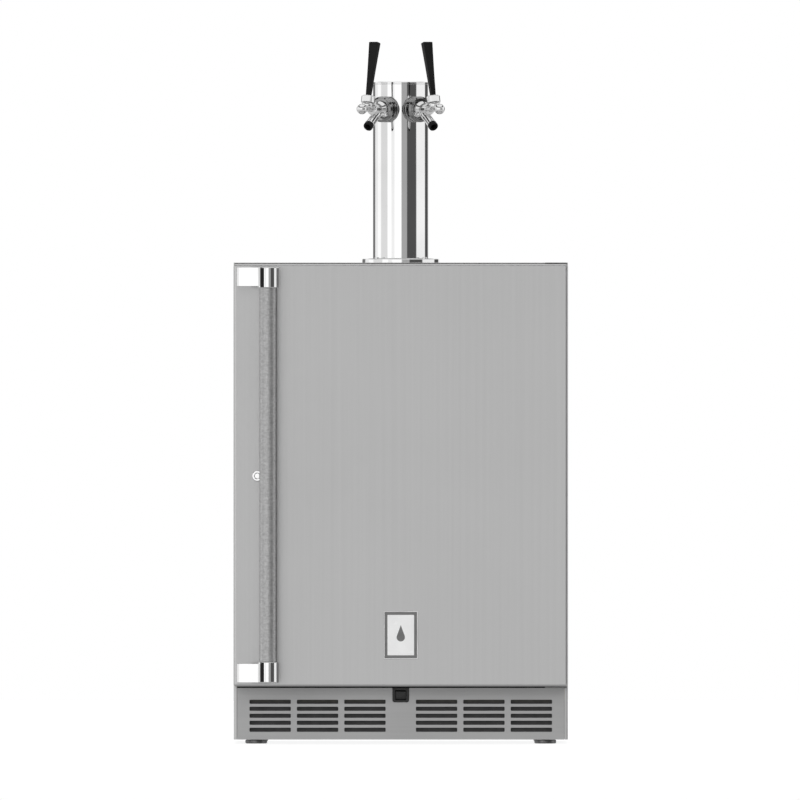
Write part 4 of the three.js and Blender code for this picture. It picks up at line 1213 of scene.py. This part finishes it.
def badge():
    """A nameplate without a mark: a polished rim, a satin band and a white field with a plain drop."""
    low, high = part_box("badge_plate")
    floor_y = low.y + 1.0 * MM

    def outline(inset, radius):
        return rectangle(low.x + inset, high.x - inset, low.z + inset, high.z - inset, radius)

    def layer(y, inset, radius):
        return (low.x + inset, high.x - inset, low.z + inset, high.z - inset, radius, -y)

    rim = 1.5 * MM
    band = 6.8 * MM
    layers = [
        layer(FRONT - GAP, 0, 1.2 * MM), layer(low.y + 0.7 * MM, 0, 1.2 * MM), layer(low.y, 0.6 * MM, 1 * MM),
        layer(low.y, rim - 0.4 * MM, 0.8 * MM), layer(low.y + 0.4 * MM, rim, 0.8 * MM), layer(floor_y, rim, 0.8 * MM),
    ]
    shape("badge_plate", tray(new_mesh(), layers, FACING, steps=4), "badge", sharp=20)
    frame_band = sheet_with_holes(outline(rim + 0.1 * MM, 0.8 * MM), [outline(band, 0.5 * MM)], low.y + 0.4 * MM,
                                  floor_y - 0.05 * MM)
    piece("badge_band", frame_band, "badge", "door", bevel=0.12 * MM, sharp=50, special="badge_frame")
    field = facing(new_mesh(), outline(band + 0.1 * MM, 0.5 * MM), low.y + 0.6 * MM, floor_y - 0.05 * MM)
    piece("badge_field", field, "badge", "door", bevel=0.12 * MM, sharp=50, special="badge_field")
    centre = (low + high) / 2
    round_part = 7.5 * MM
    tip = 22 * MM
    side = math.degrees(math.acos(round_part / tip))
    drop = arc((centre.x, centre.z - 4 * MM), round_part, 90 + side, 450 - side, 28)
    drop.append((centre.x, centre.z - 4 * MM + tip))
    ornament = facing(new_mesh(), drop, low.y + 0.45 * MM, low.y + 0.65 * MM)
    piece("badge_drop", ornament, "badge", "door", sharp=50, special="badge_frame")


def lock():
    """The barrel's bright ring, and the core with its keyway and cam."""
    low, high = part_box("lock_barrel")
    centre = (low + high) / 2
    spot = at(centre.x, FRONT, centre.z) @ ALONG_Y
    bore = 5 * MM
    depth = high.y - FRONT
    profile = rounded([
        (bore, -2.1 * MM, 0.3 * MM), (6.2 * MM, -2.8 * MM, 0.3 * MM), (9 * MM, -2.8 * MM, 0.8 * MM),
        (10 * MM, -1.4 * MM, 0.6 * MM), (10 * MM, -GAP, 0.1 * MM), (8 * MM, -GAP, 0.1 * MM), (8 * MM, depth, 0.4 * MM),
        (bore, depth, 0.3 * MM),
    ], steps=4)
    shape("lock_barrel", turned(new_mesh(), profile, spot, facets=56), "chrome", sharp=40)
    core_low, core_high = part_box("lock_core")
    tail = core_high.y - FRONT
    radius = bore - 0.15 * MM
    core = turned(new_mesh(), rounded([
        (0, -2.4 * MM, 0), (radius, -2.4 * MM, 0.4 * MM), (radius, tail, 0.3 * MM), (0, tail, 0),
    ], closed=False, steps=3), spot, facets=48)
    cam_outline = rounded([
        (centre.x - 5 * MM, core_low.z, 4 * MM), (centre.x + 5 * MM, core_low.z, 4 * MM),
        (centre.x + 5 * MM, core_high.z, 4 * MM), (centre.x - 5 * MM, core_high.z, 4 * MM),
    ])
    cam = facing(new_mesh(), cam_outline, core_high.y - 2.5 * MM, core_high.y)
    keyway = facing(new_mesh(), rectangle(centre.x - 0.8 * MM, centre.x + 0.8 * MM, centre.z - 3.2 * MM,
                                          centre.z + 3.2 * MM, 0.3 * MM), FRONT - 6 * MM, FRONT + 3 * MM)
    shape("lock_core", cut(union(core, cam), keyway), "chrome", sharp=35)


# ---------------------------------------------------------------- draft tower and taps

TOWER_LOW, TOWER_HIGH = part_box("tower_tube")
TOWER_X = (TOWER_LOW.x + TOWER_HIGH.x) / 2
TOWER_Y = (TOWER_LOW.y + TOWER_HIGH.y) / 2
TOWER_RADIUS = (TOWER_HIGH.x - TOWER_LOW.x) / 2
LEVER_UP = 7 * MM                  # the lever's pivot over the tap's axis
TAP_Z = JOINT["tap_left_lever"]["pos_m"][2] - LEVER_UP
SHANK_RADIUS = 11 * MM
NUT_RADIUS = 23.5 * MM
WALL = TOWER_RADIUS + GAP


def tap_frame(side_name):
    """The matrix of a tap's own axes: X points out of the tower along the tap's axis."""
    pivot = JOINT[f"tap_{side_name}_lever"]["pos_m"]
    heading = math.atan2(pivot[1] - TOWER_Y, pivot[0] - TOWER_X)
    return at(TOWER_X, TOWER_Y, TAP_Z) @ Matrix.Rotation(heading, 4, "Z")


def tap_pivot(side_name):
    """How far the lever's pivot is from the tower's axis."""
    pivot = JOINT[f"tap_{side_name}_lever"]["pos_m"]
    return math.hypot(pivot[0] - TOWER_X, pivot[1] - TOWER_Y)


def rod(radius, start, end, matrix, facets=40):
    return turned(new_mesh(), [(0, start), (radius, start), (radius, end), (0, end)], matrix, facets)


def tower():
    spot = at(TOWER_X, TOWER_Y, 0)
    low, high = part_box("tower_flange")
    radius = (high.x - low.x) / 2
    profile = rounded([
        (38 * MM, low.z, 0.4 * MM), (radius, low.z, 0.4 * MM), (radius, high.z, 2.2 * MM),
        (38 * MM, high.z, 0.4 * MM),
    ], steps=5)
    shape("tower_flange", turned(new_mesh(), profile, spot, facets=96), "chrome", sharp=40)
    heads = []
    for i in range(4):
        angle = math.radians(45 + 90 * i)
        reach = 61.5 * MM
        heads.append(at(TOWER_X + reach * math.cos(angle), TOWER_Y + reach * math.sin(angle), high.z))
    screws("tower_flange_screws", heads, slot="chrome", radius=4.2 * MM, height=2.4 * MM)
    wall = 2 * MM
    tube = turned(new_mesh(), rounded([
        (TOWER_RADIUS - wall, TOWER_LOW.z, 0.3 * MM), (TOWER_RADIUS, TOWER_LOW.z, 0.5 * MM),
        (TOWER_RADIUS, TOWER_HIGH.z, 0.4 * MM), (TOWER_RADIUS - wall, TOWER_HIGH.z, 0.3 * MM),
    ], steps=3), spot, facets=128)
    holes = [rod(SHANK_RADIUS + 0.3 * MM, 0, 80 * MM, tap_frame(side) @ ALONG_X) for side in ("left", "right")]
    shape("tower_tube", cut(tube, *holes), "chrome", sharp=40)
    cap_low, cap_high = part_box("tower_cap")
    plug = TOWER_RADIUS - wall - 0.5 * MM
    cap = rounded([
        (0, cap_low.z, 0), (plug, cap_low.z, 0.5 * MM), (plug, TOWER_HIGH.z + GAP, 0.2 * MM),
        (TOWER_RADIUS, TOWER_HIGH.z + GAP, 0.4 * MM), (TOWER_RADIUS, cap_high.z, 1.6 * MM), (0, cap_high.z, 0),
    ], closed=False, steps=5)
    shape("tower_cap", turned(new_mesh(), cap, spot, facets=128), "chrome", sharp=40)


def shank(side_name):
    """A threaded shank through the wall, with an escutcheon whose back is hollowed to sit on the round tower."""
    axis = tap_frame(side_name) @ ALONG_X
    profile = [(3.5 * MM, 26 * MM), (SHANK_RADIUS - 0.6 * MM, 26 * MM)]
    pitch = 1.8 * MM
    along = 27 * MM
    while along < 42 * MM:
        profile += [(SHANK_RADIUS - 0.7 * MM, along), (SHANK_RADIUS, along + pitch / 2)]
        along += pitch
    profile += [(SHANK_RADIUS, 44 * MM), (SHANK_RADIUS, 66 * MM), (3.5 * MM, 66 * MM)]
    core = turned(new_mesh(), profile, axis, facets=40)
    collar = turned(new_mesh(), rounded([
        (SHANK_RADIUS - 1 * MM, 42 * MM, 0), (22 * MM, 42 * MM, 0.5 * MM), (22 * MM, WALL, 0.1 * MM),
        (NUT_RADIUS, WALL + 0.4 * MM, 0.5 * MM), (NUT_RADIUS, WALL + 2.2 * MM, 0.8 * MM),
        (20.5 * MM, WALL + 3.2 * MM, 1 * MM), (18.5 * MM, WALL + 5.5 * MM, 1 * MM),
        (SHANK_RADIUS - 1 * MM, WALL + 5.5 * MM, 0),
    ], steps=4), axis, facets=72)
    column = rod(TOWER_RADIUS + 0.15 * MM, -100 * MM, 100 * MM, at(TOWER_X, TOWER_Y, TAP_Z), facets=128)
    shape(f"shank_{side_name}", union(core, cut(collar, column)), "chrome", sharp=32, special="nut_chrome")


def coupling_nut(side_name):
    """The nut that holds the faucet on its shank, with spanner holes round its rim."""
    axis = tap_frame(side_name) @ ALONG_X
    nut = turned(new_mesh(), rounded([
        (12.3 * MM, 57.2 * MM, 0.4 * MM), (22 * MM, 57.2 * MM, 0.5 * MM), (NUT_RADIUS, 58.8 * MM, 0.8 * MM),
        (NUT_RADIUS, 61 * MM, 0.5 * MM), (22.4 * MM, 62 * MM, 0.5 * MM), (22.4 * MM, 71.5 * MM, 0.5 * MM),
        (NUT_RADIUS, 72.5 * MM, 0.5 * MM), (NUT_RADIUS, 74.6 * MM, 0.9 * MM), (20 * MM, 78 * MM, 1.4 * MM),
        (15.4 * MM, 78 * MM, 0.6 * MM), (12.3 * MM, 76.8 * MM, 0.4 * MM),
    ], steps=4), axis, facets=72)
    holes = []
    for i in range(6):
        turn = Matrix.Rotation(i * math.pi / 3, 4, "Z")
        spot = axis @ turn @ at(0, 0, 66.8 * MM) @ ALONG_X
        holes.append(rod(3.1 * MM, 18 * MM, 30 * MM, spot, facets=24))
    shape(f"coupling_nut_{side_name}", cut(nut, *holes), "chrome", sharp=32, special="nut_chrome")


SPOUT_START = 84 * MM
SPOUT_DROP = math.atan2(29, 43)


def spout_frame(side_name):
    tap = tap_frame(side_name)
    return tap @ at(SPOUT_START, 0, -3 * MM) @ Matrix.Rotation(SPOUT_DROP, 4, "Y") @ ALONG_X


NOSE_OUT = 150.3 * MM              # centre of the ball at the faucet's front end
NOSE_RADIUS = 9.7 * MM
NECK_RADIUS = 4.8 * MM
BALL_RADIUS = 10.2 * MM            # the ball under the lever's cap


def faucet_body(side_name, side):
    """A turned body that narrows to a neck and a ball nose, the ball under the lever, a set-screw boss, the spout."""
    tap = tap_frame(side_name)
    axis = tap @ ALONG_X
    pivot = tap_pivot(side_name)
    neck_angle = math.degrees(math.asin(NECK_RADIUS / NOSE_RADIUS))
    nose = [(r, NOSE_OUT - along) for along, r in arc((0, 0), NOSE_RADIUS, neck_angle, 180, 16)[:-1]]
    body = turned(new_mesh(), rounded([
        (0, 66.3 * MM, 0), (11.8 * MM, 66.3 * MM, 0.5 * MM), (11.8 * MM, 78.6 * MM, 0.3 * MM),
        (14.6 * MM, 79.4 * MM, 0.9 * MM), (14.6 * MM, 84 * MM, 1.6 * MM), (10.4 * MM, 91 * MM, 4 * MM),
        (10.4 * MM, 112 * MM, 1.4 * MM), (NECK_RADIUS, 113.4 * MM, 0.8 * MM),
        (NECK_RADIUS, 130 * MM, 0),
    ], closed=False, steps=6) + nose + [(0, NOSE_OUT + NOSE_RADIUS)], axis, facets=56)
    ball = [(0, LEVER_UP - BALL_RADIUS), *arc((0, LEVER_UP), BALL_RADIUS, -84, 84, 20), (0, LEVER_UP + BALL_RADIUS)]
    joint = turned(new_mesh(), ball, tap @ at(pivot, 0, 0), facets=56)
    spout_axis = spout_frame(side_name)
    spout = turned(new_mesh(), rounded([
        (0, 0, 0), (9.6 * MM, 0, 1 * MM), (9.4 * MM, 14 * MM, 6 * MM), (8.4 * MM, 22 * MM, 8 * MM),
        (8.4 * MM, 41 * MM, 0.8 * MM), (8.8 * MM, 42 * MM, 0.4 * MM), (8.8 * MM, 45 * MM, 0.4 * MM), (0, 45 * MM, 0),
    ], closed=False, steps=4), spout_axis, facets=48)
    boss_spot = axis @ at(9 * MM, -side * 11 * MM, 0)
    boss = turned(new_mesh(), rounded([
        (0, 78.3 * MM, 0), (5.6 * MM, 78.3 * MM, 0.3 * MM), (5.6 * MM, 87 * MM, 1 * MM), (0, 87 * MM, 0),
    ], closed=False, steps=4), boss_spot, facets=32)
    passage = rod(6 * MM, 30 * MM, 50 * MM, spout_axis, facets=40)
    set_screw = rod(2.4 * MM, 84 * MM, 90 * MM, boss_spot, facets=24)
    faucet = cut(union(body, joint, spout, boss), passage, set_screw)
    shape(f"faucet_body_{side_name}", faucet, "chrome", sharp=32, special="tap_chrome")


def spout_tip(side_name):
    """The black tube end in the spout, and a black cup in the passage behind it: painted shade that keeps the spout's
    bore dark.
    """
    profile = rounded([
        (6 * MM, 45.3 * MM, 0.2 * MM), (8.7 * MM, 45.3 * MM, 0.3 * MM), (8.7 * MM, 53 * MM, 1.1 * MM),
        (6 * MM, 53 * MM, 0.9 * MM),
    ], steps=4)
    axis = spout_frame(side_name)
    shape(f"spout_tip_{side_name}", turned(new_mesh(), profile, axis, facets=48), "black_plastic", sharp=40,
          special="tap_black")
    # Painted shade: a black cup that fills the spout's passage so its bore looks dark.
    bore_shade_cup = rounded([
        (0, 31 * MM, 0), (5.9 * MM, 31 * MM, 0.3 * MM), (5.9 * MM, 52.4 * MM, 0.2 * MM),
        (5.2 * MM, 52.4 * MM, 0.2 * MM), (5.2 * MM, 32 * MM, 0.3 * MM), (0, 32 * MM, 0),
    ], closed=False, steps=3)
    piece(f"spout_lining_{side_name}", turned(new_mesh(), bore_shade_cup, axis, facets=40), "black_plastic", "cabinet",
          sharp=40, special="tap_black")


LEVER_LEAN = math.radians(14)


def lever(side_name):
    """The lever's cap, hollow over the faucet's ball, and the tapered tap handle screwed onto its stud."""
    tap = tap_frame(side_name)
    stem = tap @ at(tap_pivot(side_name), 0, LEVER_UP) @ Matrix.Rotation(-LEVER_LEAN, 4, "Y")
    hollow = 10.8 * MM
    cap_radius = 12.6 * MM
    cap_start = 4.4 * MM
    cap_end = 16.9 * MM
    rim_angle = math.degrees(math.asin(cap_start / hollow))
    inside = [(0, hollow), *arc((0, 0), hollow, 86, rim_angle, 14)]
    stud = turned(new_mesh(), inside + rounded([
        (hollow, cap_start - 0.01 * MM, 0), (cap_radius, cap_start, 0.7 * MM), (cap_radius, cap_end, 1.6 * MM),
        (2.6 * MM, cap_end, 0.1 * MM), (2.6 * MM, 30 * MM, 0.4 * MM), (0, 30 * MM, 0),
    ], closed=False, steps=4)[1:], stem, facets=56)
    shape(f"tap_lever_{side_name}", stud, "chrome", sharp=35)
    start = 17.3 * MM
    end = 118 * MM
    rings = []
    levels = [(0, 0.9 * MM), (0.01, 0.2 * MM)] + [(i / 10, 0) for i in range(1, 10)]
    levels += [(0.988, 0), (0.996, 0.5 * MM), (1, 1.3 * MM)]
    for t, inset in levels:
        flare = t ** 1.25
        half_wide = (9.2 + 9.8 * flare) / 2 * MM - inset
        half_deep = (8 + 4 * flare) / 2 * MM - inset
        corner = min(half_wide, half_deep) * 0.3
        outline = rectangle(-half_deep, half_deep, -half_wide, half_wide, corner, steps=5)
        rings.append([stem @ Vector((u, v, start + t * (end - start))) for u, v in outline])
    grip = skin(new_mesh(), rings)
    socket = rod(2.9 * MM, 10 * MM, 31 * MM, stem, facets=24)
    shape(f"tap_handle_{side_name}", cut(grip, socket), "black_plastic", sharp=50, special="tap_black")


# ---------------------------------------------------------------- the object

def build_cabinet():
    side_panel("side_panel_left", -1)
    side_panel("side_panel_right", 1)
    top_panel()
    front_frame()
    toe_grille()
    back_panel()
    machine_cover()
    for node in ("foot_front_left", "foot_front_right", "foot_back_left", "foot_back_right"):
        foot(node)
    power_switch()
    hinge("hinge_top", -1)
    hinge("hinge_bottom", 1)
    lock_strike()
    keep("galvanised", "base_pan")
    keep("liner_steel", "liner_wrap", "liner_floor", "liner_ceiling", "liner_hump")
    keep("foam", "insulation", "door_foam")
    keep("aluminium", "condenser", "evaporator")
    keep("black_plastic", "condenser_fan_frame")


def build_inside():
    fan("condenser_fan")
    fan("evaporator_fan")
    evaporator_cover()
    controls()
    power_inlet()
    compressor()


def build_door():
    door_skin()
    door_underside_shade_strip()
    door_inner_panel()
    gasket()
    bush("hinge_bush_top")
    bush("hinge_bush_bottom")
    handle()
    badge()
    lock()


def build_tower():
    tower()
    for side_name, side in (("left", -1), ("right", 1)):
        shank(side_name)
        coupling_nut(side_name)
        faucet_body(side_name, side)
        spout_tip(side_name)
        lever(side_name)


build_cabinet()
build_inside()
build_door()
build_tower()


# ---------------------------------------------------------------- studio

FLOOR_HALF = 9

# Upright light and dark cards round the object: from one heading to another in degrees, and how bright. Heading 0
# is in front of the door and 90 is to its right.
CARDS = [
    (-180, -166, 0.90), (-163, -134, 0.18), (-131, -112, 0.95), (-110, -92, 1.12), (-88, -58, 0.80),
    (-55, -40, 1.2), (-38, -27, 0.98), (-25, 2, 1.18), (4, 25, 0.42), (27, 66, 0.085), (70, 118, 0.98),
    (122, 149, 0.08), (154, 180, 0.9),
]
OVERHEAD = 0.95
RAIL = 0.08                        # a dark ring between the cards' tops and the overhead light
UNDERFOOT = 0.62                   # the floor as reflections see it, out to the sides
NADIR = 0.45                       # and straight below


def studio_world():
    """A soft studio all round: upright cards at eye level, a broad light overhead, and white behind the object."""
    world = bpy.data.worlds.new("studio")
    bpy.context.scene.world = world
    world.use_nodes = True
    nodes = world.node_tree.nodes
    links = world.node_tree.links
    background = nodes["Background"]
    direction = nodes.new("ShaderNodeSeparateXYZ")
    links.new(nodes.new("ShaderNodeTexCoord").outputs["Generated"], direction.inputs["Vector"])
    forward = nodes.new("ShaderNodeMath")
    forward.operation = "MULTIPLY"
    forward.inputs[1].default_value = -1
    links.new(direction.outputs["Y"], forward.inputs[0])
    heading = nodes.new("ShaderNodeMath")
    heading.operation = "ARCTAN2"
    links.new(direction.outputs["X"], heading.inputs[0])
    links.new(forward.outputs["Value"], heading.inputs[1])
    turn = nodes.new("ShaderNodeMapRange")
    turn.inputs["From Min"].default_value = -math.pi
    turn.inputs["From Max"].default_value = math.pi
    links.new(heading.outputs["Value"], turn.inputs["Value"])
    cards = nodes.new("ShaderNodeValToRGB")
    links.new(turn.outputs["Result"], cards.inputs["Fac"])
    stops = [(edge, level) for start, end, level in CARDS for edge in (start, end)]
    ramp = cards.color_ramp
    ramp.elements[0].position = 0
    ramp.elements[1].position = 1
    for position, level in stops[1:-1]:
        ramp.elements.new((position + 180) / 360).color = (*grey(level), 1)
    ramp.elements[0].color = (*grey(stops[0][1]), 1)
    ramp.elements[-1].color = (*grey(stops[-1][1]), 1)

    def faded(below, level, start, end):
        """below, giving way to an even level as the direction's height goes from start to end."""
        amount = nodes.new("ShaderNodeMapRange")
        amount.inputs["From Min"].default_value = start
        amount.inputs["From Max"].default_value = end
        links.new(direction.outputs["Z"], amount.inputs["Value"])
        mix = nodes.new("ShaderNodeMix")
        mix.data_type = "RGBA"
        links.new(amount.outputs["Result"], mix.inputs["Factor"])
        links.new(below, mix.inputs[6])
        mix.inputs[7].default_value = (*grey(level), 1)
        return mix.outputs[2]

    with_bounce = faded(cards.outputs["Color"], OVERHEAD, 0.18, 0.38)
    with_rail = faded(with_bounce, RAIL, 0.5, 0.54)
    with_ceiling = faded(with_rail, OVERHEAD, 0.72, 0.76)
    with_floor = faded(with_ceiling, UNDERFOOT, -0.08, -0.3)
    with_nadir = faded(with_floor, NADIR, -0.6, -0.7)
    behind = nodes.new("ShaderNodeMix")
    behind.data_type = "RGBA"
    links.new(nodes.new("ShaderNodeLightPath").outputs["Is Camera Ray"], behind.inputs["Factor"])
    links.new(with_nadir, behind.inputs[6])
    behind.inputs[7].default_value = (1, 1, 1, 1)
    links.new(behind.outputs[2], background.inputs["Color"])


def floor():
    """A broad pale floor that runs out into the white background."""
    bm = new_mesh()
    corners = [(-FLOOR_HALF, -FLOOR_HALF), (FLOOR_HALF, -FLOOR_HALF), (FLOOR_HALF, FLOOR_HALF), (-FLOOR_HALF, FLOOR_HALF)]
    bm.faces.new([bm.verts.new((x, y, 0)) for x, y in corners])
    obj = temporary(bm, "floor")
    finish = Finish("floor", grey(0.35), 0.8)
    finish.color(finish.noise(3), grey(0.34), grey(0.36))
    finish.shader.inputs["Emission Color"].default_value = (1, 1, 1, 1)
    finish.shader.inputs["Emission Strength"].default_value = 0.8
    obj.data.materials.append(finish.material)
    obj.visible_glossy = False


def camera():
    """Square to the front from far away, at half the picture's height, so that nothing looks tapered."""
    data = bpy.data.cameras.new("camera")
    obj = bpy.data.objects.new("camera", data)
    bpy.context.collection.objects.link(obj)
    data.lens = 1600
    data.sensor_width = 36
    data.clip_end = 200
    picture_width = 1.4504
    distance = picture_width * data.lens / data.sensor_width
    obj.location = (-0.0014, FRONT - distance, 0.6237)
    obj.rotation_euler = (math.pi / 2, 0, 0)
    bpy.context.scene.camera = obj


studio_world()
floor()
camera()
bpy.context.scene.view_settings.view_transform = "Standard"
